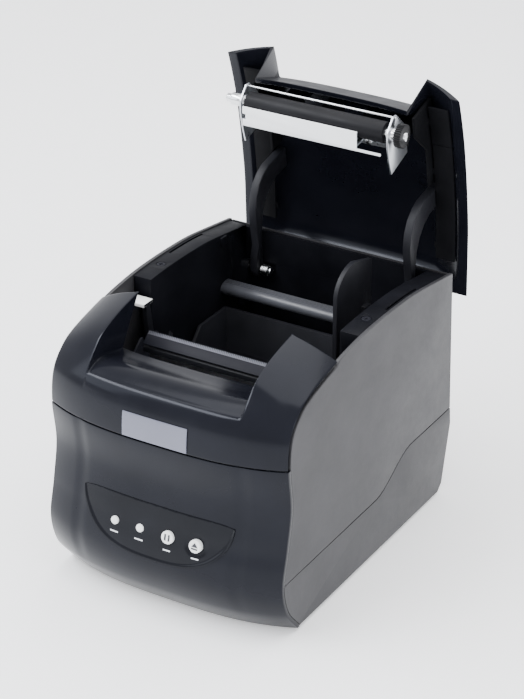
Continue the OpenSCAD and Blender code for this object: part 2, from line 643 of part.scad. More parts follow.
module head_shaft() {
    color("silver") place() rod_x(plate_left[0] - 1, plate_right[1] + 1, head_pivot[0], head_pivot[1], 1.5);
}
spring_x = [-27, 0, 22];
module head_springs() {
    // coil springs between the frame's front web and the heat sink
    color("silver") place() for (x = spring_x)
        translate([x, head_face_y - 4.4, nip_z - 8]) rotate([90, 0, 0])
            for (i = [0 : 4]) translate([0, 0, 0.5 + i * 1.3]) rotate_extrude() translate([2.6, 0]) circle(r = 0.45, $fn = 16);
}
hook_x = [44.5, 45.7];
catch_c = [66, nip_z - 1];
module hook_profile() {
    difference() {
        union() {
            translate(latch_pivot) circle(r = 3.2);
            polygon([[latch_pivot[0] - 2.6, latch_pivot[1]], [latch_pivot[0] + 1.6, latch_pivot[1]],
                     [catch_c[0] - 1.2 - move_gap - 1, catch_c[1] - 2], [catch_c[0] - 1.2 - move_gap, catch_c[1] + 4],
                     [catch_c[0] - 3.6, catch_c[1] + 6], [catch_c[0] - 6, catch_c[1] - 4]]);
        }
        translate(latch_pivot) circle(r = 1.5);
    }
}
lever_x = bay_half - 1.3;
module latch_hooks() {
    color("whitesmoke") place() {
        rod_x(-lever_x - 1, plate_right[1] + 0.7, latch_pivot[0], latch_pivot[1], 1.5);
        both_sides() slab(hook_x[0], hook_x[1]) hook_profile();
        // release lever with a broad thumb plate beside the left horn
        slab(-lever_x - 1, -lever_x + 2) difference() {
            union() {
                translate(latch_pivot) circle(r = 4);
                polygon([[latch_pivot[0] - 3, latch_pivot[1]], [latch_pivot[0] + 3, latch_pivot[1]],
                         [61, deck_h - 9], [57, deck_h - 9]]);
            }
            translate(latch_pivot) circle(r = 1.5);
        }
        box([-lever_x - 9.6, 54.5, deck_h - 9 - eps], [-lever_x + 2, 63.5, deck_h - 7]);
    }
}
module lid_catches() {
    color("silver") open_lid() both_sides() rod_x(hook_x[0] - 0.3, ear_x[0], catch_c[0], catch_c[1], 1.2);
}

// ---- electronics --------------------------------------------------------
module main_board() {
    color("darkgreen") place() {
        difference() {
            box([-58, 44, 14], [58, deck_end_y - 16, board_z]);
            // clear of the pillars, the case bosses and the power switch
            for (sx = [-1, 1]) {
                translate([sx * pillar_x, pillar_y[1], 0]) cylinder(r = pillar_r + move_gap, h = 20);
                translate([sx * boss_x, boss_y[1], 0]) cylinder(r = boss_r + move_gap, h = 20);
            }
            box([switch_x - switch_size[0] / 2 - move_gap, plug_y - 12 - move_gap, 0],
                [switch_x + switch_size[0] / 2 + move_gap, plug_y, 20]);
        }
        for (sx = [-1, 1], y = [50, deck_end_y - 22]) translate([sx * 52, y, wall]) cylinder(r = 3, h = 14 - wall);
        box([-20, 70, board_z - eps], [-2, 88, 17.4]);
        box([12, 76, board_z - eps], [24, 88, 17]);
        box([-16, 46, board_z - eps], [16, 50, 19]);
        for (x = [-44, -32, 36]) translate([x, 120, board_z - eps]) cylinder(r = 4, h = 10);
    }
}
module head_ribbon() {
    // flat cable from the head down to the board's front connector
    color("ivory") place() slab(-14, 14) polygon([
        [34, nip_z - 30], [34.4, nip_z - 30], [34.4, mech_z0 + 6], [38.4, mech_z0 + 2], [38.4, mech_z0 - 20],
        [48.6, 28], [48.6, 19.2], [48.2, 19.2], [48.2, 27.8], [38, mech_z0 - 20.2], [38, mech_z0 + 2],
        [34, mech_z0 + 5.8]]);
}
plug_y = deck_end_y - 11;    // face of the recessed connector plate
plug_z = 20;
dc_x = 22;
usb_x = -4;
switch_x = -30;
dc_r = 5.6;
usb_size = [12.4, 11.4];
switch_size = [21, 14.6];
recess = [deck_end_y - 4.1, deck_end_y + 2.2];
module connector_plate() {
    color("#1b1c1f") place() difference() {
        slab(-plug_half + 0.2, plug_half - 0.2)
            polygon([[plug_y, 7.2], [recess[0] - 0.4, 7.2], [recess[1], 32.8], [plug_y, 32.8]]);
        box([-plug_half + 1.6, plug_y + 1.6, 8.6], [plug_half - 1.6, deck_end_y + 9, 31.4]);
        translate([dc_x, plug_y - 1, plug_z]) rotate([-90, 0, 0]) cylinder(r = dc_r + 0.15, h = 4);
        box([usb_x - usb_size[0] / 2 - 0.15, plug_y - 1, plug_z - usb_size[1] / 2 - 0.15],
            [usb_x + usb_size[0] / 2 + 0.15, plug_y + 4, plug_z + usb_size[1] / 2 + 0.15]);
        box([switch_x - switch_size[0] / 2, plug_y - 1, plug_z - switch_size[1] / 2],
            [switch_x + switch_size[0] / 2, plug_y + 4, plug_z + switch_size[1] / 2]);
    }
}
module dc_jack() {
    color("black") place() {
        difference() {
            translate([dc_x, plug_y - 11, plug_z]) rotate([-90, 0, 0]) cylinder(r = dc_r, h = 13.2);
            translate([dc_x, plug_y - 9, plug_z]) rotate([-90, 0, 0]) cylinder(r = 3.2, h = 12);
            // flat that sits on the board
            box([dc_x - dc_r, plug_y - 12, 0], [dc_x + dc_r, plug_y - 1, board_z]);
        }
        translate([dc_x, plug_y - 10, plug_z]) rotate([-90, 0, 0]) cylinder(r = 1, h = 11);
        box([dc_x - 4.5, plug_y - 11, board_z], [dc_x + 4.5, plug_y - 1, plug_z - 3.4]);
    }
}
module usb_socket() {
    w = usb_size[0];
    h = usb_size[1];
    color("silver") place() difference() {
        box([usb_x - w / 2, plug_y - 14, board_z], [usb_x + w / 2, plug_y + 2, plug_z + h / 2]);
        difference() {
            box([usb_x - w / 2 + 1.6, plug_y - 8, plug_z - h / 2 + 2.2], [usb_x + w / 2 - 1.6, plug_y + 3, plug_z + h / 2 - 1.4]);
            box([usb_x - 2.8, plug_y - 8, plug_z - 1.4], [usb_x + 2.8, plug_y + 0.6, plug_z + 1.8]);
        }
    }
}
rocker_r = 6;
rocker_tilt = 8;
module switch_frame() {
    w = switch_size[0];
    h = switch_size[1];
    color("black") place() difference() {
        union() {
            box([switch_x - w / 2 - 1.4, plug_y + 1.6, plug_z - h / 2 - 1.4], [switch_x + w / 2 + 1.4, plug_y + 3, plug_z + h / 2 + 1.4]);
            box([switch_x - w / 2 + 0.1, plug_y - 12, plug_z - h / 2 + 0.1], [switch_x + w / 2 - 0.1, plug_y + 1.7, plug_z + h / 2 - 0.1]);
        }
        box([switch_x - w / 2 + 1.4, plug_y - 6, plug_z - h / 2 + 1.2], [switch_x + w / 2 - 1.4, plug_y + 4, plug_z + h / 2 - 1.2]);
        // bearing holes for the rocker's trunnions
        rod_x(switch_x - w / 2 + 0.6, switch_x + w / 2 - 0.6, plug_y, plug_z, 0.9 + run_gap);
    }
}
module power_rocker() {
    w = switch_size[0] - 2.8 - 0.6;
    color("black") place() translate([0, plug_y, plug_z]) rotate([-rocker_tilt, 0, 0]) {
        slab(switch_x - w / 2, switch_x + w / 2) difference() {
            polygon([[-3.4, -2], [-3.4, 2], [1.6, 5.1], [3.6, 4.9], [2.6, 0], [3.6, -4.9], [1.6, -5.1]]);
            translate([14.4, 0]) circle(r = 11.8, $fn = 96);
        }
        rod_x(switch_x - switch_size[0] / 2 + 0.7, switch_x + switch_size[0] / 2 - 0.7, 0, 0, 0.9);
    }
}

// ---- lid, drawn closed --------------------------------------------------
lid_front_run = [14.4, 26.8];
function lid_u(i) = i <= lid_front_rows ? u_horn + 0.03 + (lid_fold_u - u_horn - 0.03) * i / lid_front_rows
                                        : lid_fold_u + (lid_end_u - lid_fold_u) * (1 - pow(1 - (i - lid_front_rows) / (lid_rows - lid_front_rows), 1.3));
// The lid is flatter than the hood between its horns.
function lid_bulge(x) = bulge(max(abs(x), mouth_half)) + lid_flat * (bulge(x) - bulge(max(abs(x), mouth_half)));
function lid_skin(u, x) =
    let (s = spline(side_line, u), t = max(0, (s[0] - lid_end_y + lid_tail) / lid_tail))
    [x, s[0] - bow_d * bow_share(u) * bulge(x),
     s[1] + crown_h * crown_share(u) * lid_bulge(x) * (1 - pow(min(1, t), 3))];
function lid_inner(u, x, xi) =
    let (p = lid_skin(u, x), y = p[1] - wall * ramp((p[1] - lid_end_y + 24) / 24))
    [xi, y, max(top_z(max(y, 40)) + 0.02, p[2] - wall)];
// Point i up the sloping front wall between the horns.
function lid_front(i, x, d) =
    let (p = lid_skin(lid_fold_u, x), t = 1 - i / lid_front_rows)
    p + [0, -lid_front_run[0] * t + d * 0.88, -lid_front_run[1] * t - (i == 0 ? 0 : d * 0.7)];
lid_mouth = mouth_half + 0.9;
function lid_columns(shift) = concat(
    [for (i = [0 : 5]) -half_w + (half_w - lid_mouth) * i / 5 + shift * (1 - 1.4 * i / 5)],
    [for (i = [0 : 10]) (mouth_half + 0.2) * (i - 5) / 5],
    [for (i = [5 : -1 : 0]) half_w - (half_w - lid_mouth) * i / 5 - shift * (1 - 1.4 * i / 5)]);
module lid_shell() {
    xo = lid_columns(0);
    xi = lid_columns(wall);
    n = len(xo) - 1;
    mid = function (j) j > 5 && j < 17;
    // resize keeps the size here: it makes the skin and its pegs one faceted moulding
    color("#1b1c20") open_lid() resize([0, 0, 0]) {
        shell(
            [for (i = [0 : lid_rows]) [for (j = [0 : n])
                mid(j) && i < lid_front_rows ? lid_front(i, xo[j], 0) : lid_skin(lid_u(i), xo[j])]],
            [for (i = [0 : lid_rows]) [for (j = [0 : n])
                mid(j) && i < lid_front_rows ? lid_front(i, xo[j], wall)
                : lid_inner(lid_u(i), xo[j], xi[j]) + [0, mid(j) && i == lid_front_rows ? wall * 0.6 : 0, 0]]]);
        // pegs that the lid arms seat on
        both_sides() for (y = peg_y) translate([arm_x + arm_t / 2, y, under_lid(y, arm_x + arm_t) - 0.3])
            cylinder(r = 1.5, h = 1.8);
    }
}
peg_y = [hinge_y - 59, hinge_y - 51];
liner_x = [50.4, 52];
band_x = 0.883 * half_w;   // outer edge of the side bands
function under_lid(y, x) = top_z(y) + crown_h * lid_bulge(x) - wall;
module lid_liner() {
    color("#141518") open_lid() {
        both_sides() slab(liner_x[0], liner_x[1]) polygon(concat(
            [for (i = [0 : 8]) let (y = 48 + 54 * i / 8) [y, under_lid(y, liner_x[1]) - 0.6]],
            [[102, top_z(102) - 3], [78, top_z(78) - 3], [62, deck_h - 12], [50, deck_h - 12]]));
        // block behind the front wall that carries the platen bracket
        for (x = [-38, -12, 14, 34]) box([x, 61, nip_z + 15], [x + 6, 72, under_lid(66, 44) - 1]);
        box([-46, 63.5, nip_z + 15], [46, 70, nip_z + 19]);
        // flat side bands, level with the rim, in two steps
        both_sides() for (run = [[50, 75, 0.05], [75.6, 150, 0.5]])
            slab(arm_x + arm_t + 0.3, band_x) polygon(concat(
                [for (i = [0 : 12]) let (y = run[0] + (run[1] - run[0]) * i / 12) [y, top_z(y) + run[2]]],
                [for (i = [12 : -1 : 0]) let (y = run[0] + (run[1] - run[0]) * i / 12) [y, top_z(y) + 1.25]]));
        // webs that carry the bands on the liner's walls
        both_sides() for (y = [58, 92, 140]) box([liner_x[1] - eps, y, top_z(y) + 0.6], [arm_x + arm_t + 0.4, y + 4, top_z(y) + 1.2]);
    }
}
arm_x = 48;
module lid_arms() {
    color("#141518") open_lid() both_sides() difference() {
        slab(arm_x, arm_x + arm_t) union() {
            translate([hinge_y, hinge_z]) circle(r = hub_r);
            translate([hinge_y, hinge_z]) polygon(concat(
                [[0, -4.6], [-9, -3.4], [-16, 0.3], [-28, 0.3], [-40, 0.9], [-48, 3.6], [-54.5, 8], [-58.5, 14], [-60.5, 20]],
                [for (i = [0 : 3]) let (y = hinge_y - 61 + 12 * i / 3)
                    [y - hinge_y, under_lid(y, arm_x + arm_t) - 0.3 - hinge_z]],
                [[-48.5, 26], [-45.5, 19], [-40.5, 13], [-33.5, 8.6], [-25.5, 6.2], [-16.5, 4.6], [-6, 3], [0, 3]]));
        }
        rod_x(arm_x - 1, arm_x + arm_t + 1, hinge_y, hinge_z, hinge_pin_r);
    }
}
module hinge_pins() {
    color("silver") open_lid() both_sides() {
        rod_x(arm_x - 6, bay_half - 0.3, hinge_y, hinge_z, hinge_pin_r);
        rod_x(arm_x - 7.2, arm_x - 6, hinge_y, hinge_z, hinge_pin_r + 0.5);
    }
}
module hinge_springs() {
    color("silver") open_lid() both_sides() {
        for (i = [0 : 3]) translate([arm_x - 5.2 + i * 1.35, hinge_y, hinge_z]) rotate([0, 90, 0])
            rotate_extrude() translate([hinge_pin_r + 0.85, 0]) circle(r = 0.55, $fn = 16);
        translate([arm_x - 1.15, hinge_y, hinge_z + hinge_pin_r + 0.85]) rotate([90, 0, 0]) cylinder(r = 0.5, h = 15);
    }
}
ear_x = [46, 47];
defl_y = nip_y + platen_r + 0.6;   // front of the deflector's web, just behind the platen
defl_z = nip_z - platen_r - 0.55;  // top of the deflector, just under the platen
module platen_bracket() {
    ear = [[42.2, nip_z + 3], [42.8, nip_z + 6.4], [52, nip_z + 13.4], [60, nip_z + 15], [71.6, nip_z + 15],
           [73.4, nip_z + 5], [75, nip_z - 4], [66, nip_z - 5.4], [56, nip_z - 6], [48, nip_z - 4.8]];
    color("silver") open_lid() {
        both_sides() difference() {
            slab(ear_x[0], ear_x[1]) polygon(ear);
            rod_x(ear_x[0] - 1, ear_x[1] + 1, nip_y, nip_z, bush_r);
            rod_x(ear_x[0] - 1, ear_x[1] + 1, rod_c[0], rod_c[1], rod_r);
        }
        box([-ear_x[0] - eps, defl_y - 0.2, nip_z + 14], [ear_x[0] + eps, 71.6, nip_z + 15]);
        // deflector under the platen, which keeps the label on its way to the nip
        difference() {
            slab(-43.8, 29) union() {
                polygon([[nip_y - 1, defl_z], [nip_y + 10, defl_z - 1.75],
                         [nip_y + 10, defl_z - 2.55], [nip_y - 1, defl_z - 0.8]]);
                polygon([[defl_y, defl_z - 1.7], [defl_y, nip_z + 14.2], [defl_y + 1, nip_z + 14.2], [defl_y + 1, defl_z - 1.7]]);
            }
            box([-45, nip_y + 3, defl_z - 4], [-41.8, nip_y + 6, defl_z + 1]);
        }
        // bent edge that runs on towards the right ear
        slab(29 - eps, 43.6) polygon([[nip_y + 8.8, defl_z - 1.6], [nip_y + 10, defl_z - 1.75],
                                      [nip_y + 10, defl_z - 2.55], [nip_y + 8.8, defl_z - 2.4]]);
    }
}
rod_c = [43.5, nip_z + 4.5];
rod_r = 0.6;
module peel_rod() {
    color("silver") open_lid() rod_x(-ear_x[1] - 0.6, ear_x[1] + 0.6, rod_c[0], rod_c[1], rod_r);
}
module platen_bushings() {
    color("whitesmoke") open_lid() {
        for (s = [[-54.2, -45.4], [45.4, 49.6]]) difference() {
            rod_x(s[0], s[1], nip_y, nip_z, bush_r);
            rod_x(s[0] - 1, s[1] + 1, nip_y, nip_z, shaft_r + run_gap);
        }
    }
}
module lid_screws() {
    color("dimgray") open_lid() for (sx = [-1, 1], y = [defl_y + 3.6, 69])
        translate([sx * 24, y, nip_z + 14 - eps]) mirror([0, 0, 1]) cylinder(r = 1.9, h = 1.4);
}
module platen_rubber() {
    color("black") open_lid() difference() {
        rod_x(-platen_len / 2, platen_len / 2, nip_y, nip_z, platen_r);
        rod_x(-platen_len, platen_len, nip_y, nip_z, shaft_r);
    }
}
module platen_shaft() {
    color("silver") open_lid() rod_x(-57.6, gear_x[1] + 1.2, nip_y, nip_z, shaft_r);
}
module platen_gear() {
    color("black") open_lid() gear(platen_teeth, [nip_y, nip_z], shaft_r, 0);
}

bottom_case();
side_panel_left();
side_panel_right();
top_frame();
rear_panel();
front_hood();
badge_plate();
control_panel();
lamp_windows();
control_board();
rubber_feet();
case_screws();
deck_screws();
roll_bin();
ribbed_beam();
mech_frame();
tear_bar();
paper_plate();
gap_sensor();
stepper_motor();
motor_pinion();
idler_gear();
gear_stud();
heat_sink();
thermal_head();
head_shaft();
head_springs();
latch_hooks();
lid_catches();
paper_guide();
main_board();
head_ribbon();
connector_plate();
dc_jack();
usb_socket();
switch_frame();
power_rocker();
pause_button();
feed_button();
lid_shell();
lid_liner();
lid_arms();
hinge_pins();
hinge_springs();
platen_bracket();
peel_rod();
platen_bushings();
lid_screws();
platen_rubber();
platen_shaft();
platen_gear();
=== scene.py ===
"""Looks of a desktop receipt printer with its lid open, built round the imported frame.

Sizes are in millimetres in the design frame, where y = 0 is the foot of the front corner, z = 0 is the
underside of the case and the lid is closed. Place turns them into metres in the row frame.
"""

import json
import logging
import math
from dataclasses import dataclass, field
from enum import Enum
from typing import Callable, Sequence

import bmesh
import bpy
import numpy as np
from mathutils import Matrix, Vector


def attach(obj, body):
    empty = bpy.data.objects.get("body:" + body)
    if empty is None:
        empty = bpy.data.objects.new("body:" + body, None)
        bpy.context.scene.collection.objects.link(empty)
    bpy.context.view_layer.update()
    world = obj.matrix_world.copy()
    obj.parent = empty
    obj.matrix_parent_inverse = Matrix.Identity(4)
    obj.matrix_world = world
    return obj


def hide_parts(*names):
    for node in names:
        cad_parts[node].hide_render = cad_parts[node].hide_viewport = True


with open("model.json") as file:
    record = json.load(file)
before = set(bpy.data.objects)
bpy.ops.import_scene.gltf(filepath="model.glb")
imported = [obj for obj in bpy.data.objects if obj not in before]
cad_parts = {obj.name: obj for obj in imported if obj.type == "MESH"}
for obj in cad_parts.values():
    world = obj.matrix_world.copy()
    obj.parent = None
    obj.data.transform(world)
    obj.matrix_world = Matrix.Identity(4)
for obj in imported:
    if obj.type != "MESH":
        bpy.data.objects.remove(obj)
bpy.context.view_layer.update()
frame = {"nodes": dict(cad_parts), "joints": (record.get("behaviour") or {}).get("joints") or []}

MM = 0.001
LOG = logging.getLogger("printer")
Grid = list[list[Vector]]
Point2 = tuple[float, float]
Colour = tuple[float, float, float]
Socket = bpy.types.NodeSocket
Mesh = bpy.types.Mesh
Piece = bpy.types.Object
FLAT = Matrix(((0, 1, 0, 0), (0, 0, 1, 0), (1, 0, 0, 0), (0, 0, 0, 1)))  # lays a prism's outline in x and y


class Body(Enum):
    """The bodies of the printer that pieces ride on."""

    ROOT = "root"
    LID = "lid"
    PLATEN = "platen"
    GUIDE = "paper_guide"
    IDLER = "idler"
    PINION = "pinion"
    HEAD = "head"
    LATCH = "latch"
    ROCKER = "rocker"
    PAUSE = "pause_button"
    FEED = "feed_button"


class Side(Enum):
    """The two sides of the printer, as a sign along x."""

    LEFT = -1
    RIGHT = 1


# ---- finishes -------------------------------------------------------------


class Nodes:
    """A small helper that adds nodes to a material and links them."""

    def __init__(self, name: str) -> None:
        """Starts an empty material with a shader and an output.

        Args:
            name: The material's name.
        """
        self.material = bpy.data.materials.new(name)
        self.material.use_nodes = True
        self.tree = self.material.node_tree
        self.tree.nodes.clear()
        self.out = self.tree.nodes.new("ShaderNodeOutputMaterial")
        self.shader = self.tree.nodes.new("ShaderNodeBsdfPrincipled")
        self.link(self.shader.outputs[0], self.out.inputs["Surface"])
        self.coords = self.tree.nodes.new("ShaderNodeTexCoord").outputs["Object"]

    def link(self, source: Socket, target: Socket) -> None:
        """Links one socket to another."""
        self.tree.links.new(source, target)

    def add(self, kind: str, vector: Socket | None = None, **values: object) -> bpy.types.Node:
        """Adds a node.

        Args:
            kind: The node's type without its prefix.
            vector: The source of its vector input, if it has one.
            values: Its inputs' constants, spaces in their names written as underscores.

        Returns:
            The node.
        """
        node = self.tree.nodes.new("ShaderNode" + kind)
        for name, value in values.items():
            node.inputs[name.replace("_", " ")].default_value = value
        if vector:
            self.link(vector, node.inputs["Vector"])
        return node

    def scaled(self, scale: Sequence[float]) -> Socket:
        """Object coordinates stretched by scale along each axis."""
        return self.add("Mapping", self.coords, Scale=scale).outputs["Vector"]

    def noise(self, scale: float, detail: float = 3.0, rough: float = 0.55,
              vector: Socket | None = None) -> Socket:
        """A noise value over the surface.

        Args:
            scale: Cells per metre.
            detail: Octaves of finer noise.
            rough: Share of each finer octave.
            vector: Coordinates to read instead of plain object coordinates.

        Returns:
            The noise's value socket.
        """
        node = self.add("TexNoise", vector or self.coords, Scale=scale, Detail=detail, Roughness=rough)
        return node.outputs["Fac"]

    def cells(self, scale: float) -> Socket:
        """Distance to the nearest cell centre of a cellular pattern."""
        return self.add("TexVoronoi", self.coords, Scale=scale).outputs["Distance"]

    def spread(self, value: Socket, low: float, high: float) -> Socket:
        """Maps the middle of a noise's range to low..high."""
        node = self.add("MapRange", From_Min=0.3, From_Max=0.7, To_Min=low, To_Max=high)
        self.link(value, node.inputs["Value"])
        return node.outputs["Result"]

    def blend(self, value: Socket, first: Sequence[float],
              second: Sequence[float]) -> Socket:
        """A colour between first and second, by value."""
        node = self.tree.nodes.new("ShaderNodeMix")
        node.data_type = "RGBA"
        node.inputs["A"].default_value = (*first, 1.0)
        node.inputs["B"].default_value = (*second, 1.0)
        self.link(value, node.inputs["Factor"])
        return node.outputs["Result"]

    def bump(self, height: Socket, strength: float, distance: float) -> None:
        """Adds a bump under whatever bump the shader has so far.

        Args:
            height: The height's socket.
            strength: Share of the bump that shows.
            distance: Depth in metres.
        """
        node = self.add("Bump", Strength=strength, Distance=distance)
        self.link(height, node.inputs["Height"])
        normal = self.shader.inputs["Normal"]
        if normal.is_linked:
            self.link(normal.links[0].from_socket, node.inputs["Normal"])
        self.link(node.outputs["Normal"], normal)

    def set(self, **values: float | Sequence[float]) -> None:
        """Sets constants on the shader's own sockets, spaces written as underscores."""
        for key, value in values.items():
            self.shader.inputs[key.replace("_", " ")].default_value = value


@dataclass(frozen=True)
class Finish:
    """A moulded or painted surface with mottled colour, uneven gloss and a fine grain."""

    name: str
    colour: Colour
    rough: float
    tint: float = 0.25
    metal: float = 0.0
    coat: float = 0.0
    grain: float = 900.0
    grain_depth: float = 0.00004
    grain_strength: float = 0.25
    ripple: float = 0.0
    rough_spread: float = 0.06
    specular: float = 0.5
    sheen_tint: Colour = (1.0, 1.0, 1.0)

    def build(self) -> bpy.types.Material:
        """Makes the material."""
        nodes = Nodes(self.name)
        lighter = tuple(min(1.0, c * (1 + self.tint) + 0.004 * self.tint) for c in self.colour)
        darker = tuple(c * (1 - self.tint) for c in self.colour)
        patches = nodes.noise(38.0, 5.0)
        colour = nodes.blend(nodes.spread(patches, 0.0, 1.0), darker, lighter)
        nodes.link(colour, nodes.shader.inputs["Base Color"])
        smears = nodes.noise(75.0, 6.0, 0.65)
        low = max(0.02, self.rough - self.rough_spread)
        rough = nodes.spread(smears, low, self.rough + self.rough_spread)
        nodes.link(rough, nodes.shader.inputs["Roughness"])
        nodes.set(Metallic=self.metal, Coat_Weight=self.coat, Coat_Roughness=0.08,
                  Specular_IOR_Level=self.specular, Specular_Tint=(*self.sheen_tint, 1.0))
        self.texture(nodes)
        if self.ripple:
            nodes.bump(nodes.noise(60.0, 1.0), self.ripple, 0.0006)
        return nodes.material

    def texture(self, nodes: Nodes) -> None:
        """Adds the finish's own grain."""
        nodes.bump(nodes.noise(self.grain, 4.0), self.grain_strength, self.grain_depth)


@dataclass(frozen=True)
class SparkGrain(Finish):
    """Spark-eroded mould texture: fine round pits all over."""

    def texture(self, nodes: Nodes) -> None:
        """Adds pits from a cellular pattern over a finer noise."""
        nodes.bump(nodes.cells(self.grain), self.grain_strength, self.grain_depth)
        nodes.bump(nodes.noise(self.grain * 2.3, 3.0), self.grain_strength * 0.7, self.grain_depth)


@dataclass(frozen=True)
class BrushedMetal(Finish):
    """Metal with drawn lines along one axis."""

    along: tuple[float, float, float] = (6.0, 420.0, 420.0)

    def texture(self, nodes: Nodes) -> None:
        """Adds long thin scratches."""
        lines = nodes.noise(1.0, 6.0, 0.7, nodes.scaled(self.along))
        nodes.bump(lines, self.grain_strength, self.grain_depth)
        nodes.bump(nodes.noise(self.grain, 2.0), self.grain_strength * 0.3, self.grain_depth)


@dataclass(frozen=True)
class GroundRubber(Finish):
    """Rubber ground on a lathe, with faint rings round its axis."""

    def texture(self, nodes: Nodes) -> None:
        """Adds rings across x and a fine grain."""
        rings = nodes.noise(1.0, 4.0, 0.6, nodes.scaled((2600.0, 12.0, 12.0)))
        nodes.bump(rings, self.grain_strength, self.grain_depth)
        nodes.bump(nodes.noise(self.grain, 3.0), self.grain_strength * 0.6, self.grain_depth)


@dataclass(frozen=True)
class BoardFinish(Finish):
    """Circuit board: solder mask with traces and pale pads."""

    def texture(self, nodes: Nodes) -> None:
        """Adds raised traces from a brick pattern."""
        plain, pale, trace = ((*(c * gain for c in self.colour), 1.0) for gain in (1.0, 1.5, 2.4))
        brick = nodes.add("TexBrick", nodes.coords, Scale=130.0, Color1=plain, Color2=pale, Mortar=trace,
                          Mortar_Size=0.03)
        nodes.link(brick.outputs["Color"], nodes.shader.inputs["Base Color"])
        nodes.bump(brick.outputs["Fac"], self.grain_strength, self.grain_depth)


class Finishes:
    """Every finish of the printer, built once."""

    def __init__(self) -> None:
        """Builds all the materials."""
        rows = [
            Finish("gloss_shell", (0.0042, 0.0046, 0.0072), 0.17, tint=0.15, grain=500, grain_strength=0.03,
                   ripple=0.012, rough_spread=0.03, specular=0.16, sheen_tint=(0.88, 0.91, 1.0)),
            Finish("lid_lining", (0.0150, 0.0152, 0.0175), 0.45, specular=0.10, grain_strength=0.1),
            SparkGrain("rail_black", (0.0045, 0.0047, 0.0065), 0.46, specular=0.07, grain=1300),
            SparkGrain("liner_black", (0.0040, 0.0041, 0.0050), 0.60, specular=0.04, grain=1300,
                       grain_strength=0.2),
            BrushedMetal("tooth_steel", (0.10, 0.102, 0.12), 0.45, tint=0.1, metal=0.6, grain_strength=0.1),
            SparkGrain("side_grain", (0.0225, 0.0220, 0.0245), 0.50, grain=1500, grain_depth=0.00006,
                       grain_strength=0.35),
            SparkGrain("inner_black", (0.0085, 0.0088, 0.0115), 0.50, specular=0.24, grain=1300,
                       grain_strength=0.3),
            Finish("panel_black", (0.0045, 0.0048, 0.0065), 0.16, specular=0.14, grain=700,
                   grain_strength=0.03, sheen_tint=(0.90, 0.93, 1.0)),
            BrushedMetal("badge", (0.145, 0.15, 0.19), 0.38, tint=0.06, metal=0.4, grain_strength=0.12,
                         along=(5.0, 500.0, 500.0)),
            Finish("white_key", (0.80, 0.81, 0.80), 0.30, tint=0.04, coat=0.2, grain_strength=0.08),
            Finish("mark_grey", (0.022, 0.024, 0.03), 0.5, tint=0.1),
            Finish("mark_white", (0.72, 0.74, 0.76), 0.5, tint=0.05),
            BrushedMetal("beam_grey", (0.05, 0.052, 0.06), 0.34, grain=1200, grain_strength=0.5,
                         grain_depth=0.0002, along=(2.0, 460.0, 460.0)),
            BrushedMetal("sheet_steel", (0.52, 0.54, 0.57), 0.30, tint=0.1, metal=0.95, grain_strength=0.2),
            Finish("white_sheet", (0.86, 0.88, 0.89), 0.35, tint=0.03, coat=0.2, grain_strength=0.06),
            BrushedMetal("bar_steel", (0.0085, 0.0088, 0.0125), 0.50, tint=0.12, specular=0.10,
                         grain_strength=0.2),
            BrushedMetal("bright_steel", (0.72, 0.73, 0.74), 0.18, tint=0.06, metal=1.0, grain_strength=0.1,
                         along=(900.0, 14.0, 14.0)),
            BrushedMetal("head_alu", (0.50, 0.51, 0.53), 0.36, tint=0.1, metal=1.0),
            Finish("ceramic", (0.62, 0.58, 0.48), 0.22, tint=0.06, coat=0.3),
            Finish("acetal", (0.78, 0.78, 0.75), 0.40, tint=0.05, grain_strength=0.12),
            Finish("motor_can", (0.05, 0.05, 0.055), 0.36, metal=0.7),
            BrushedMetal("brass", (0.70, 0.50, 0.20), 0.25, tint=0.1, metal=1.0),
            Finish("gear_black", (0.006, 0.006, 0.007), 0.38, specular=0.2),
            GroundRubber("roller_rubber", (0.0045, 0.0045, 0.0058), 0.46, specular=0.14, grain=1700,
                         grain_strength=0.35),
            GroundRubber("foot_rubber", (0.02, 0.02, 0.02), 0.75),
            BoardFinish("board_green", (0.012, 0.085, 0.035), 0.35, coat=0.3),
            BrushedMetal("ribbon", (0.60, 0.58, 0.52), 0.45, tint=0.06, along=(700.0, 4.0, 4.0)),
        ]
        self.table = {row.name: row.build() for row in rows}

    def __getitem__(self, name: str) -> bpy.types.Material:
        """The material of that name."""
        return self.table[name]


# ---- the styling curves -----------------------------------------------------


def ramp(t: float) -> float:
    """A smooth step from 0 to 1."""
    c = max(0.0, min(1.0, t))
    return c * c * (3 - 2 * c)


def spline(points: Sequence[Point2], u: float) -> np.ndarray:
    """A point of the Catmull-Rom curve through points, at parameter u."""
    n = len(points) - 1
    i = max(0, min(n - 1, math.floor(u)))
    t = u - i
    a, b, c, d = (np.array(points[max(0, min(n, i + k))], float) for k in (-1, 0, 1, 2))
    square, cube = 2 * a - 5 * b + 4 * c - d, 3 * b - a - 3 * c + d
    return 0.5 * (2 * b + (c - a) * t + square * t * t + cube * t ** 3)


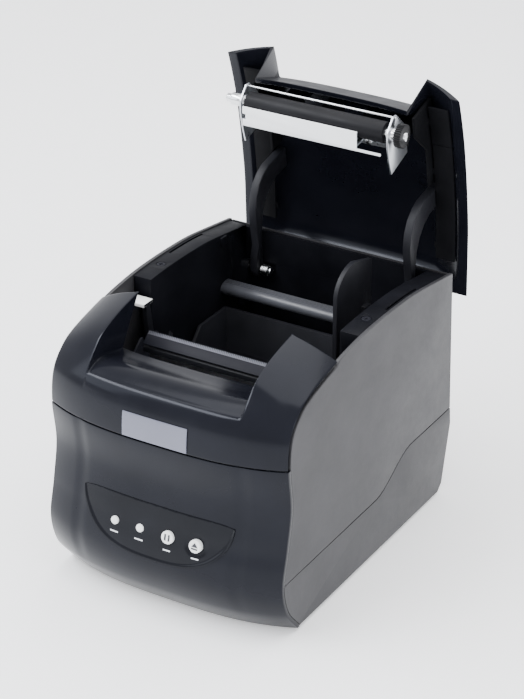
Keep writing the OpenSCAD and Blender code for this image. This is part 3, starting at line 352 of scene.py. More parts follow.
@dataclass
class Styling:
    """The curves that the case, the hood and the lid share."""

    half_w: float = 74.0
    deck_h: float = 143.5
    deck_end: float = 173.0
    bow: float = 12.2
    crown: float = 15.0
    wall: float = 2.4
    mouth_half: float = 48.0
    mouth_drop: float = 22.0
    mouth_end: float = 34.0
    lid_tail: float = 16.0
    lid_flat: float = 0.35
    u_seam: float = 5.0
    u_lip: float = 6.0
    u_horn: float = 9.0
    u_end: float = 15.0
    outline: list[Point2] = field(init=False)
    mouth: list[Point2] = field(init=False)

    def __post_init__(self) -> None:
        """Lays out the outlines from the sizes."""
        h, e = self.deck_h, self.deck_end
        self.outline = [(0, 0), (-12, 0.104 * h), (-17, 0.237 * h), (-12.6, 0.383 * h), (-8.6, 0.544 * h),
                        (-11.2, 0.714 * h), (-9, 0.836 * h), (-1, 0.909 * h), (11.5, 0.955 * h), (40, h),
                        (66, h + 3.2), (88, h + 3.9), (109, h + 3.5), (e - 45, h + 2.3), (e - 20, h - 1.2),
                        (e, h - 4.2)]
        floor_end = h + self.crown_share(9) * 10.9 - self.mouth_drop - 6
        self.mouth = [(-20.1, 0.862 * h), (-12, h - 14.2), (-2, h - 11.6), (12, h - 14.2),
                      (self.mouth_end, floor_end)]

    def inset(self, u: float, d: float) -> np.ndarray:
        """The side outline at u, moved inwards by d."""
        t = spline(self.outline, u + 0.02) - spline(self.outline, u - 0.02)
        t /= np.linalg.norm(t)
        return spline(self.outline, u) + d * np.array([t[1], -t[0]])

    def bulge(self, x: float) -> float:
        """Share of the bow and the crown at x: 1 in the middle and 0 at the sides."""
        return 1 - min(1.0, abs(x) / self.half_w) ** 3

    def bow_share(self, u: float) -> float:
        """How much of the bow shows at u."""
        return 1 - 0.65 * ramp((u - 5.6) / 3.4) - 0.35 * ramp((u - 9) / 1.5)

    def crown_share(self, u: float) -> float:
        """How much of the crown shows at u."""
        return ramp((u - 5) / 3.6)

    def skin(self, u: float, x: float, d: float = 0.0) -> Vector:
        """A point of the outer skin, d under it."""
        s = self.inset(u, d)
        b = self.bulge(x)
        return Vector((x, s[0] - self.bow * self.bow_share(u) * b,
                       s[1] + self.crown * self.crown_share(u) * b))

    def mouth_point(self, u: float, x: float, d: float = 0.0) -> Vector:
        """A point of the low floor between the horns."""
        t = (u - self.u_lip) / (self.u_horn - self.u_lip) * (len(self.mouth) - 2) + 0.35
        s = spline(self.mouth, t)
        n = spline(self.mouth, t + 0.02) - s
        n /= np.linalg.norm(n)
        q = s + d * np.array([n[1], -n[0]])
        b = self.bulge(x) - self.bulge(self.mouth_half)
        return Vector((x, q[0] - 0.8 * self.bow * b, q[1] + 0.12 * self.crown * b))

    def mouth_skin(self, u: float, x: float, d: float = 0.0) -> Vector:
        """The hood's centre: up the brow, over the lip and down to the floor."""
        return self.skin(u, x, d).lerp(self.mouth_point(max(u, self.u_lip), x, d), ramp((u - 5.9) / 0.75))

    def find_u(self, value: float, axis: int, low: float, high: float) -> float:
        """Parameter between low and high where the outline's coordinate on that axis reaches value."""
        for _ in range(30):
            mid = (low + high) / 2
            low, high = (mid, high) if spline(self.outline, mid)[axis] < value else (low, mid)
        return (low + high) / 2

    def top_u(self, y: float) -> float:
        """Parameter of the outline's top over y."""
        return self.find_u(y, 0, self.u_horn, self.u_end)

    def top_z(self, y: float) -> float:
        """Height of the side edge over y."""
        return float(spline(self.outline, self.top_u(y))[1])

    def front_u(self, z: float) -> float:
        """Parameter of the front outline at height z."""
        return self.find_u(z, 1, 0.5, self.u_seam)

    @property
    def lid_end(self) -> float:
        """The y of the lid's rear edge."""
        return self.deck_end - 3.5

    def lid_skin(self, u: float, x: float) -> Vector:
        """A point of the closed lid's outer skin, whose crown dies away at the rear."""
        s = spline(self.outline, u)
        b = self.bulge(x)
        edge = self.bulge(max(abs(x), self.mouth_half))
        t = max(0.0, (s[0] - self.lid_end + self.lid_tail) / self.lid_tail)
        rise = self.crown * self.crown_share(u) * (edge + self.lid_flat * (b - edge)) * (1 - min(1.0, t) ** 3)
        return Vector((x, s[0] - self.bow * self.bow_share(u) * b, s[1] + rise))


@dataclass
class Place:
    """Turns design millimetres into metres in the row frame."""

    style: Styling
    hinge: Vector = field(init=False)
    shift: Vector = field(init=False)
    angle: float = field(init=False)

    def __post_init__(self) -> None:
        """Reads the hinge from the frame's joints."""
        joint = next(j for j in frame["joints"] if j["name"] == "lid_hinge")
        self.hinge = Vector((0, self.style.deck_end - 6.5, self.style.deck_h - 29.5))
        self.shift = Vector(joint["pos_m"]) - self.hinge * MM
        self.angle = math.radians(joint["range_deg"][1])

    @property
    def body(self) -> Matrix:
        """Matrix for pieces of the case."""
        return Matrix.Translation(self.shift) @ Matrix.Scale(MM, 4)

    @property
    def lid(self) -> Matrix:
        """Matrix for pieces of the lid, which stands open at rest."""
        turn = Matrix.Rotation(-self.angle, 4, "X")
        return self.body @ Matrix.Translation(self.hinge) @ turn @ Matrix.Translation(-self.hinge)


# ---- mesh making --------------------------------------------------------------


def finished(bm: bmesh.types.BMesh, name: str) -> Mesh:
    """Turns a bmesh into a mesh of that name, its faces all outwards, and frees it."""
    bmesh.ops.recalc_face_normals(bm, faces=bm.faces)
    mesh = bpy.data.meshes.new(name)
    bm.to_mesh(mesh)
    bm.free()
    return mesh


def new_object(name: str, mesh: Mesh) -> Piece:
    """Links a mesh into the scene under that name."""
    obj = bpy.data.objects.new(name, mesh)
    bpy.context.scene.collection.objects.link(obj)
    return obj


def freeze(obj: Piece) -> None:
    """Turns an object's modifiers into plain mesh and removes them."""
    bpy.context.view_layer.update()
    mesh = bpy.data.meshes.new_from_object(obj.evaluated_get(bpy.context.evaluated_depsgraph_get()))
    obj.modifiers.clear()
    obj.data = mesh


def soften(obj: Piece, width: float, angle: float = 38.0, segments: int = 2) -> None:
    """Rounds an object's edges and shades it smooth away from them.

    Args:
        obj: The object.
        width: Width of the rounding in metres.
        angle: Edges sharper than this many degrees are rounded.
        segments: Facets across the rounding.
    """
    bevel = obj.modifiers.new("round", "BEVEL")
    bevel.width = width
    bevel.segments = segments
    bevel.limit_method = "ANGLE"
    bevel.angle_limit = math.radians(angle)
    bevel.use_clamp_overlap = True
    freeze(obj)
    obj.data.shade_smooth()
    obj.data.set_sharp_from_angle(angle=math.radians(angle))


def mesh_from_grids(outer: Grid, inner: Grid) -> Mesh:
    """A closed mesh between two grids of points with the same rows and columns."""
    rows, cols = len(outer), len(outer[0])
    count = rows * cols
    points = [p for row in outer for p in row] + [p for row in inner for p in row]
    faces: list[tuple[int, ...]] = []
    for i in range(rows - 1):
        for j in range(cols - 1):
            a, b = i * cols + j, (i + 1) * cols + j
            faces.append((a, a + 1, b + 1, b))
            faces.append((count + a, count + b, count + b + 1, count + a + 1))
    rim = [j for j in range(cols)] + [i * cols + cols - 1 for i in range(1, rows)]
    rim += [(rows - 1) * cols + j for j in range(cols - 2, -1, -1)]
    rim += [i * cols for i in range(rows - 2, 0, -1)]
    for a, b in zip(rim, rim[1:] + rim[:1]):
        faces.append((b, a, count + a, count + b))
    mesh = bpy.data.meshes.new("shell")
    mesh.from_pydata(points, [], faces)
    bm = bmesh.new()
    bm.from_mesh(mesh)
    bmesh.ops.recalc_face_normals(bm, faces=bm.faces)
    bm.to_mesh(mesh)
    bm.free()
    return mesh


def mesh_from_prisms(prisms: Sequence[tuple[Sequence[Point2], float, float]]) -> Mesh:
    """Prisms along x, each from an outline in (y, z) and its two ends."""
    bm = bmesh.new()
    for outline, x0, x1 in prisms:
        low = [bm.verts.new((x0, y, z)) for y, z in outline]
        high = [bm.verts.new((x1, y, z)) for y, z in outline]
        bm.faces.new(low)
        bm.faces.new(high[::-1])
        for i in range(len(outline)):
            j = (i + 1) % len(outline)
            bm.faces.new((low[i], high[i], high[j], low[j]))
    return finished(bm, "prisms")


def lathe(profile: Sequence[Point2], steps: int = 48) -> Mesh:
    """A closed solid of revolution about z, from (radius, height) points that start and end on the axis."""
    bm = bmesh.new()
    rings = []
    for r, z in profile:
        if r < 1e-6:
            rings.append([bm.verts.new((0, 0, z))])
        else:
            rings.append([bm.verts.new((r * math.cos(a), r * math.sin(a), z))
                          for a in (2 * math.pi * k / steps for k in range(steps))])
    for one, two in zip(rings, rings[1:]):
        for k in range(steps):
            m = (k + 1) % steps
            corners = [one[k % len(one)], one[m % len(one)], two[m % len(two)], two[k % len(two)]]
            bm.faces.new(list(dict.fromkeys(corners)))
    return finished(bm, "lathe")


def cut(obj: Piece, tool: Mesh) -> None:
    """Cuts a tool mesh out of an object."""
    cutter = new_object("cutter", tool)
    mod = obj.modifiers.new("cut", "BOOLEAN")
    mod.operation = "DIFFERENCE"
    mod.object = cutter
    mod.solver = "EXACT"
    freeze(obj)
    bpy.data.objects.remove(cutter)


def merge(meshes: Sequence[Mesh]) -> Mesh:
    """One mesh holding all of these."""
    bm = bmesh.new()
    for mesh in meshes:
        bm.from_mesh(mesh)
    return finished(bm, "merged")


@dataclass
class Assembly:
    """What every sub-assembly shares: the place, the finishes and how a piece is handed over."""

    place: Place
    finishes: Finishes

    @property
    def style(self) -> Styling:
        """The styling curves."""
        return self.place.style

    def hand_over(self, obj: Piece, body: Body, finish: str, *nodes: str,
                  slot: str | None = None) -> None:
        """Dresses a piece, rides it on a body and lets it stand for CAD nodes.

        Args:
            obj: The piece.
            body: The body that it moves with.
            finish: The finish's name.
            nodes: The CAD nodes that it stands for.
            slot: The record's slot, where it has no node whose slot it takes. Not used.
        """
        obj.data.materials.clear()
        obj.data.materials.append(self.finishes[finish])
        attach(obj, body.value)
        if nodes:
            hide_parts(*nodes)
        LOG.info("%s: %d faces on %s", obj.name, len(obj.data.polygons), body.value)

    def second_finish(self, obj: Piece, finish: str, matrix: Matrix,
                      chosen: Callable[[Vector, Vector], bool]) -> None:
        """Gives some of a piece's faces a second finish.

        Args:
            obj: The piece, already handed over.
            finish: The second finish's name.
            matrix: The piece's place, which is undone before the test.
            chosen: Tells from a face's centre and normal, in the design frame, whether it is one of them.
        """
        obj.data.materials.append(self.finishes[finish])
        back = matrix.inverted()
        turn = back.to_3x3().normalized()
        for face in obj.data.polygons:
            face.material_index = int(chosen(back @ face.center, turn @ face.normal))

    def softened_node(self, node: str, body: Body, finish: str, width: float,
                      angle: float = 30.0) -> Piece:
        """A copy of a CAD node with its edges rounded, which stands for it.

        Args:
            node: The CAD node.
            body: The body that it rides on.
            finish: The finish's name.
            width: Width of the rounding in metres.
            angle: Edges sharper than this many degrees are rounded.

        Returns:
            The piece.
        """
        bm = bmesh.new()
        bm.from_mesh(frame["nodes"][node].data)
        bmesh.ops.remove_doubles(bm, verts=bm.verts, dist=1e-6)
        bmesh.ops.dissolve_limit(bm, angle_limit=math.radians(0.6), verts=bm.verts, edges=bm.edges)
        obj = new_object(node + "_piece", finished(bm, node + "_soft"))
        soften(obj, width, angle)
        self.hand_over(obj, body, finish, node)
        return obj

    def placed(self, name: str, mesh: Mesh, matrix: Matrix | None = None) -> Piece:
        """A new object from a mesh in design millimetres, moved to its place in the row frame."""
        mesh.transform(matrix or self.place.body)
        return new_object(name, mesh)


# ---- geometry nodes -----------------------------------------------------------


class Repeat(Enum):
    """The two Geometry Nodes trees."""

    ROW = "row"
    COIL = "coil"


class NodeTree:
    """Builds a Geometry Nodes tree and runs it on an object."""

    def __init__(self, kind: Repeat) -> None:
        """Lays out the tree.

        Args:
            kind: Which tree to build.
        """
        self.tree = bpy.data.node_groups.new(kind.value, "GeometryNodeTree")
        self.sockets: dict[str, str] = {}
        self.tree.interface.new_socket("Geometry", in_out="INPUT", socket_type="NodeSocketGeometry")
        self.inputs = self.tree.nodes.new("NodeGroupInput")
        (self.row if kind is Repeat.ROW else self.coil)()

    def socket(self, name: str, kind: str) -> Socket:
        """Adds a named input to the tree."""
        item = self.tree.interface.new_socket(name, in_out="INPUT", socket_type=kind)
        self.sockets[name] = item.identifier
        return self.inputs.outputs[name]

    def add(self, kind: str, **links: Socket) -> bpy.types.Node:
        """Adds a node and links its inputs, whose names have spaces for underscores."""
        node = self.tree.nodes.new(kind)
        for name, source in links.items():
            self.tree.links.new(source, node.inputs[name.replace("_", " ")])
        return node

    def close(self, geometry: Socket) -> None:
        """Ends the tree in Realize Instances and Set Material."""
        real = self.add("GeometryNodeRealizeInstances", Geometry=geometry)
        paint = self.add("GeometryNodeSetMaterial", Geometry=real.outputs[0],
                         Material=self.socket("Material", "NodeSocketMaterial"))
        self.tree.interface.new_socket("Geometry", in_out="OUTPUT", socket_type="NodeSocketGeometry")
        self.tree.links.new(paint.outputs[0], self.tree.nodes.new("NodeGroupOutput").inputs[0])

    def row(self) -> None:
        """The object's own mesh, repeated along a line."""
        line = self.add("GeometryNodeMeshLine", Count=self.socket("Count", "NodeSocketInt"),
                        Start_Location=self.socket("Start", "NodeSocketVector"),
                        Offset=self.socket("Step", "NodeSocketVector"))
        copies = self.add("GeometryNodeInstanceOnPoints", Points=line.outputs[0],
                          Instance=self.inputs.outputs["Geometry"])
        self.close(copies.outputs[0])

    def coil(self) -> None:
        """A wire wound round z."""
        radius = self.socket("Radius", "NodeSocketFloat")
        line = self.add("GeometryNodeCurveSpiral", Start_Radius=radius, End_Radius=radius,
                        Rotations=self.socket("Turns", "NodeSocketFloat"),
                        Height=self.socket("Length", "NodeSocketFloat"))
        line.inputs["Resolution"].default_value = 26
        wire = self.add("GeometryNodeCurvePrimitiveCircle", Radius=self.socket("Wire", "NodeSocketFloat"))
        wire.inputs["Resolution"].default_value = 10
        tube = self.add("GeometryNodeCurveToMesh", Curve=line.outputs[0], Profile_Curve=wire.outputs[0])
        tube.inputs["Fill Caps"].default_value = True
        self.close(tube.outputs[0])

    def run(self, obj: Piece, material: bpy.types.Material, **values: object) -> None:
        """Runs the tree on an object with these inputs and keeps the mesh.

        Args:
            obj: The object whose mesh is repeated or replaced.
            material: The material that the tree sets.
            values: The tree's other inputs by name.
        """
        mod = obj.modifiers.new("repeat", "NODES")
        mod.node_group = self.tree
        for name, value in {**values, "Material": material}.items():
            mod[self.sockets[name]] = value
        freeze(obj)


# ---- sub-assemblies -------------------------------------------------------------


def eased(half: float, count: int, power: float = 1.5) -> list[float]:
    """Columns from -half to half that crowd together at both ends."""
    steps = [2 * i / count - 1 for i in range(count + 1)]
    return [math.copysign(half * (1 - (1 - abs(t)) ** power), t) for t in steps]


def spaced(start: float, end: float, count: int) -> list[float]:
    """count + 1 even values from start to end."""
    return [start + (end - start) * i / count for i in range(count + 1)]


@dataclass
class FrontCase(Assembly):
    """The lower front in one gloss moulding, and the matte tray behind it."""

    rows: int = 110
    columns: int = 110
    top_u: float = 4.985
    edge: float = 0.0004
    lamp_x: tuple[float, ...] = (-24.6, -8.6)
    button_x: tuple[float, ...] = (9.3, 26.6)
    dial_u: float = 2.8
    hole_r: float = 4.4
    past: float = 1.0
    crease_x: float = 50.5
    crease_half: float = 6.0
    crease_depth: float = 0.4

    def crease(self, u: float, x: float) -> float:
        """Depth of the soft upright crease near each side of the front."""
        near = 1 - ramp(abs(abs(x) - self.crease_x) / self.crease_half)
        return self.crease_depth * near * ramp((u - 0.6) / 1.2)

    def dial(self, x: float) -> Matrix:
        """Matrix of a control's own frame: z points out of the panel and x across it."""
        st = self.style
        centre = st.skin(self.dial_u, 0)
        along = st.skin(self.dial_u + 0.3, 0) - st.skin(self.dial_u - 0.3, 0)
        turn = Matrix.Rotation(math.atan2(along.z, along.y), 4, "X")
        return self.place.body @ Matrix.Translation(centre) @ turn @ Matrix.Translation((x, 0, 0))

    def drills(self, radius: float, xs: Sequence[float], depth: float = 8.0) -> Mesh:
        """Cylinders across the panel at each x."""
        rods = []
        for x in xs:
            rod = lathe([(0, -depth), (radius, -depth), (radius, depth), (0, depth)], 64)
            rod.transform(self.dial(x))
            rods.append(rod)
        return merge(rods)

    def build(self) -> None:
        """Makes the front and the tray."""
        st = self.style
        xs = eased(st.half_w, self.columns)
        us = spaced(0, self.top_u, self.rows)
        outer = [[st.skin(u, x, self.crease(u, x)) for x in xs] for u in us]
        inner = [[st.skin(u, x, st.wall) for x in xs] for u in us]
        for point in inner[0]:
            point.z = 0
        front = self.placed("lower_front", mesh_from_grids(outer, inner))
        cut(front, self.drills(self.hole_r, self.lamp_x + self.button_x))
        soften(front, self.edge, 50)
        self.hand_over(front, Body.ROOT, "gloss_shell", "bottom_case")

        wide = [x * (1 + 2 / st.half_w) for x in spaced(-st.half_w, st.half_w, 40)]
        heights = spaced(0, 5.12, 50)
        out = [[st.skin(u, x, -self.past) for x in wide] for u in heights]
        back = [[st.skin(u, x, st.wall + 0.02) for x in wide] for u in heights]
        for row in (out, back):
            row.insert(0, [Vector((p.x, p.y, -2)) for p in row[0]])
        slab = mesh_from_grids(out, back)
        slab.transform(self.place.body)
        tray = new_object("case_tray", frame["nodes"]["bottom_case"].data.copy())
        cut(tray, slab)
        soften(tray, 0.0003, 40)
        self.hand_over(tray, Body.ROOT, "side_grain", "bottom_case")


@dataclass
class Controls(FrontCase):
    """The half-moon panel with its lamps, keys and plain marks."""

    moon_half: float = 47.3
    moon_low_z: float = 35.2425
    moon_high_z: float = 65.7425
    proud: float = 0.9
    sunk: float = 0.35
    lip: float = 1.6
    dish: float = 0.22
    dish_r: float = 5.4
    dish_edge: float = 1.5
    lamp_r: float = 2.3
    lamp_gap: float = 0.12
    key_r: float = 3.7
    key_gap: float = 0.3
    key_top: float = 1.8
    sign_size: float = 1.3
    knob_edge: float = 0.0001
    mark_h: float = 0.7

    def low_z(self, x: float) -> float:
        """Height of the panel's lower arc at x."""
        top = self.moon_high_z - 2.4
        return top - (top - self.moon_low_z) * math.sqrt(max(0, 1 - (abs(x) / self.moon_half) ** 2.6))

    def panel_height(self, x: float, z: float) -> float:
        """How far the panel stands off the skin: a lip along the arc, and a shallow dish at the feed key."""
        away = (z - self.low_z(x)) / (1 + 2.5 * (abs(x) / self.moon_half) ** 6)
        from_key = math.hypot(x - self.button_x[1], z - self.style.skin(self.dial_u, 0).z)
        dish = 1 - ramp((from_key - self.dish_r) / self.dish_edge)
        return self.sunk - self.dish * dish + (self.proud - self.sunk) * (1 - ramp((away - 0.5) / self.lip))

    def knob(self, name: str, mesh: Mesh, x: float, body: Body, node: str) -> None:
        """Puts a turned lamp or key at x across the panel and hands it over."""
        mesh.transform(self.dial(x))
        obj = new_object(name, mesh)
        soften(obj, self.knob_edge, 60)
        self.hand_over(obj, body, "white_key", node)

    def mark(self, name: str, x0: float, x1: float, z0: float, z1: float) -> None:
        """A thin raised mark on the panel between these corners."""
        st = self.style
        xs, us = spaced(x0, x1, 6), spaced(st.front_u(z0), st.front_u(z1), 4)
        top = self.panel_height((x0 + x1) / 2, (z0 + z1) / 2)
        grids = [[[st.skin(u, x, -(top + d)) for x in xs] for u in us] for d in (0.08, -0.05)]
        mark = self.placed(name, mesh_from_grids(*grids))
        self.hand_over(mark, Body.ROOT, "mark_white", slot="white_key")

    def build(self) -> None:
        """Makes the panel, lamps, keys and marks."""
        st = self.style
        xs = eased(self.moon_half, 110)
        low = [st.front_u(self.low_z(x)) for x in xs]
        high = [st.front_u(self.moon_high_z - 2 * (abs(x) / self.moon_half) ** 8) for x in xs]
        outer: Grid = []
        inner: Grid = []
        for t in [k * k for k in spaced(0, 1, 60)]:
            us = [a + (b - a) * t for a, b in zip(low, high)]
            outer.append([st.skin(u, x, -self.panel_height(x, st.skin(u, x).z)) for u, x in zip(us, xs)])
            inner.append([st.skin(u, x, -0.05) for u, x in zip(us, xs)])
        panel = self.placed("key_panel", mesh_from_grids(outer, inner))
        cut(panel, merge([self.drills(self.lamp_r + self.lamp_gap, self.lamp_x),
                          self.drills(self.key_r + self.key_gap, self.button_x)]))
        soften(panel, 0.0003, 45)
        self.hand_over(panel, Body.ROOT, "panel_black", "control_panel")

        r = self.lamp_r
        window = [(0, -1), (r, -1), (r, 0.75), (r - 0.3, 1.05), (r * 0.5, 1.25), (0, 1.3)]
        for k, x in enumerate(self.lamp_x):
            self.knob(f"lamp_{k + 1}", lathe(window), x, Body.ROOT, "lamp_windows")
        r, top = self.key_r, self.key_top
        cap = [(0, -5.2), (r - 1.2, -5.2), (r - 1.2, -3.4), (r, -3.4), (r, top - 0.5), (r - 0.15, top - 0.16),
               (r - 0.5, top), (r * 0.5, top - 0.1), (0, top - 0.14)]
        for body, x in zip((Body.PAUSE, Body.FEED), self.button_x):
            self.knob(body.value + "_cap", lathe(cap, 64), x, body, body.value)
        self.pictograms()
        marks = (("lamp_mark", self.lamp_x, 2.6, 5.9), ("key_mark", self.button_x, 2.2, 6.9))
        for name, xs, half, below in marks:
            for k, x in enumerate(xs):
                z = self.dial(x).translation.z / MM - self.place.shift.z / MM - below
                self.mark(f"{name}_{k + 1}", x - half, x + half, z - self.mark_h, z)

    def pictograms(self) -> None:
        """Two bars on the pause key, and a wedge over a bar on the feed key."""
        top = self.key_top - 0.12
        shapes = {
            Body.PAUSE: [[(-1.3, -1.4), (-0.5, -1.4), (-0.5, 1.4), (-1.3, 1.4)],
                         [(0.5, -1.4), (1.3, -1.4), (1.3, 1.4), (0.5, 1.4)]],
            Body.FEED: [[(-1.5, -0.3), (1.5, -0.3), (0, 1.6)],
                        [(-1.5, -1.4), (1.5, -1.4), (1.5, -0.8), (-1.5, -0.8)]],
        }
        for (body, outlines), x in zip(shapes.items(), self.button_x):
            grown = [[(a * self.sign_size, b * self.sign_size) for a, b in outline] for outline in outlines]
            mesh = mesh_from_prisms([(outline, top - 0.1, top + 0.16) for outline in grown])
            mesh.transform(self.dial(x) @ FLAT)
            obj = new_object(body.value + "_sign", mesh)
            self.hand_over(obj, body, "mark_grey", slot="panel_black")


@dataclass
class Hood(Assembly):
    """The hood with its two horns, and the blank badge plate under it."""

    rows: int = 130
    horn_columns: int = 22
    centre_columns: int = 70
    edge: float = 0.0004
    badge_w: float = 40.0
    badge_out: float = 0.8

    def columns(self, shift: float) -> list[float]:
        """Columns across the hood; shift moves the edges in by the wall."""
        st = self.style
        n = self.horn_columns
        left = [x + shift * (1 - i / n) for i, x in enumerate(spaced(-st.half_w, -st.mouth_half, n))]
        left[-1] -= shift
        centre = spaced(-st.mouth_half + 0.5, st.mouth_half - 0.5, self.centre_columns)
        centre[0] -= shift
        centre[-1] += shift
        return left + centre + [-x for x in reversed(left)]

    def build(self) -> None:
        """Makes the hood and the badge."""
        st = self.style
        grids: list[Grid] = []
        n = self.horn_columns
        for shift in (0.0, st.wall):
            xs = self.columns(shift)
            kinds = [st.skin if j <= n or j >= len(xs) - n - 1 else st.mouth_skin for j in range(len(xs))]
            us = spaced(st.u_seam + 0.03, st.u_horn - 0.01, self.rows)
            grids.append([[kind(u, x, shift) for kind, x in zip(kinds, xs)] for u in us])
        hood = self.placed("hood", mesh_from_grids(*grids))
        soften(hood, self.edge, 45)
        self.hand_over(hood, Body.ROOT, "gloss_shell", "front_hood")

        half = self.badge_w / 2
        xs, us = spaced(-half, half, 40), spaced(st.u_seam + 0.06, 5.74, 20)
        faces = [[[st.skin(u, x, -d) for x in xs] for u in us] for d in (self.badge_out, 0.05)]
        badge = self.placed("badge", mesh_from_grids(*faces))
        soften(badge, 0.00025, 45)
        self.hand_over(badge, Body.ROOT, "badge", "badge_plate")


@dataclass
class Lid(Assembly):
    """The lid's outer skin with its sloping front wall."""

    side_columns: int = 20
    centre_columns: int = 60
    front_rows: int = 16
    top_rows: int = 90
    edge: float = 0.0004
    front_run: tuple[float, float] = (14.4, 26.8)
    fold_from_end: float = 112.0
    inside_y: float = 70.0

    def columns(self, shift: float) -> list[float]:
        """Columns across the lid; shift moves the sides in by the wall."""
        st = self.style
        n = self.side_columns
        plain = spaced(-st.half_w, -st.mouth_half - 0.9, n)
        side = [x + shift * (1 - 1.4 * i / n) for i, x in enumerate(plain)]
        centre = spaced(-st.mouth_half - 0.2, st.mouth_half + 0.2, self.centre_columns)
        return side + centre + [-x for x in side[::-1]]

    def front_point(self, t: float, x: float, d: float, fold: float) -> Vector:
        """A point of the sloping front wall, t = 0 at its foot."""
        run, drop = self.front_run
        sink = 0 if t == 0 else d * 0.7
        return self.style.lid_skin(fold, x) + Vector((0, -run * (1 - t) + d * 0.88, -drop * (1 - t) - sink))

    def inner_point(self, u: float, x: float, xi: float) -> Vector:
        """The inner side of the top at u."""
        st = self.style
        p = st.lid_skin(u, x)
        y = p.y - st.wall * ramp((p.y - st.lid_end + 24) / 24)
        return Vector((xi, y, max(st.top_z(max(y, 40)) + 0.02, p.z - st.wall)))

    def build(self) -> None:
        """Makes the lid's skin."""
        st = self.style
        fold, end, n = st.top_u(st.deck_end - self.fold_from_end), st.top_u(st.lid_end), self.side_columns
        us = spaced(st.u_horn + 0.03, fold, self.front_rows)
        us += [fold + (end - fold) * (1 - (1 - t) ** 1.3) for t in spaced(0, 1, self.top_rows)[1:]]
        xo, xi = self.columns(0), self.columns(st.wall)
        outer: Grid = []
        inner: Grid = []
        for i, u in enumerate(us):
            t = i / self.front_rows
            sloping = [n < j < len(xo) - n - 1 and i < self.front_rows for j in range(len(xo))]
            outer.append([self.front_point(t, x, 0, fold) if s else st.lid_skin(u, x)
                          for s, x in zip(sloping, xo)])
            row = [self.front_point(t, x, st.wall, fold) if s else self.inner_point(u, x, x2)
                   for s, x, x2 in zip(sloping, xo, xi)]
            if i == self.front_rows:
                for j in range(n + 1, len(xo) - n - 1):
                    row[j].y += st.wall * 0.6
            inner.append(row)
        shell = self.placed("lid_skin", mesh_from_grids(outer, inner), self.place.lid)
        soften(shell, self.edge, 50)
        self.hand_over(shell, Body.LID, "gloss_shell", "lid_shell")
        self.second_finish(shell, "lid_lining", self.place.lid,
                           lambda at, normal: normal.z < -0.1 or (normal.y > 0.3 and at.y < self.inside_y))


@dataclass
class TearBar(Assembly):
    """The toothed tear bar, with one tooth repeated along it."""

    length: float = 88.0
    pitch: float = 1.1
    root: float = -0.75
    reach: float = 1.42
    under: float = 1.2
    depth: float = 7.0
    thick: float = 1.0
    tilt: float = 38.0
    y: float = 39.0
    z: float = 130.0

    def build(self) -> None:
        """Makes the bar's plate, its teeth and the lip under it."""
        t = self.thick
        turn = Matrix.Translation((0, self.y, self.z)) @ Matrix.Rotation(math.radians(self.tilt), 4, "X")
        low, high = -self.under, t - self.under
        outline = [(-self.depth, low), (self.root, low), (self.root, high), (-self.depth, high)]
        plate = mesh_from_prisms([(outline, -self.length / 2, self.length / 2)])
        bar = self.placed("tear_plate", plate, self.place.body @ turn)
        soften(bar, 0.0002)
        self.hand_over(bar, Body.ROOT, "bar_steel", "tear_bar")
        lip = self.style.mouth_half - self.style.wall - 1.2
        y, z = self.style.mouth_end, self.z
        outline = [(y + 0.6, z - 10), (y + 2.4, z - 10), (y + 2.6, z - 5.6), (y + 0.6, z - 7.2)]
        cover = self.placed("tear_cover", mesh_from_prisms([(outline, -lip, lip)]))
        soften(cover, 0.0002)
        self.hand_over(cover, Body.ROOT, "inner_black", "tear_bar")
        count = int(self.length / self.pitch)
        foot, tip = 0.31 * self.pitch, 0.1 * self.pitch
        middle, low, high = self.pitch / 2, self.root - 0.02, self.reach
        corners = [(middle - foot, low), (middle + foot, low), (middle + tip, high), (middle - tip, high)]
        tooth = mesh_from_prisms([(corners, 0.01 - self.under, t - 0.01 - self.under)])
        tooth.transform(FLAT)
        teeth = new_object("tear_teeth", tooth)
        NodeTree(Repeat.ROW).run(teeth, self.finishes["tooth_steel"], Count=count,
                                 Start=(-count * self.pitch / 2, 0.0, 0.0), Step=(self.pitch, 0.0, 0.0))
        teeth.data.transform(self.place.body @ turn)
        self.hand_over(teeth, Body.ROOT, "tooth_steel", "tear_bar")


def islands(node: str) -> list[tuple[Vector, Vector]]:
    """Boxes of the separate solids of a CAD node, in metres."""
    bm = bmesh.new()
    bm.from_mesh(frame["nodes"][node].data)
    bmesh.ops.remove_doubles(bm, verts=bm.verts, dist=1e-6)
    seen: set[bmesh.types.BMVert] = set()
    boxes = []
    for start in bm.verts:
        if start in seen:
            continue
        stack, found = [start], []
        seen.add(start)
        while stack:
            vert = stack.pop()
            found.append(vert.co.copy())
            for edge in vert.link_edges:
                other = edge.other_vert(vert)
                if other not in seen:
                    seen.add(other)
                    stack.append(other)
        boxes.append((Vector(min(p[k] for p in found) for k in range(3)),
                      Vector(max(p[k] for p in found) for k in range(3))))
    bm.free()
    return boxes


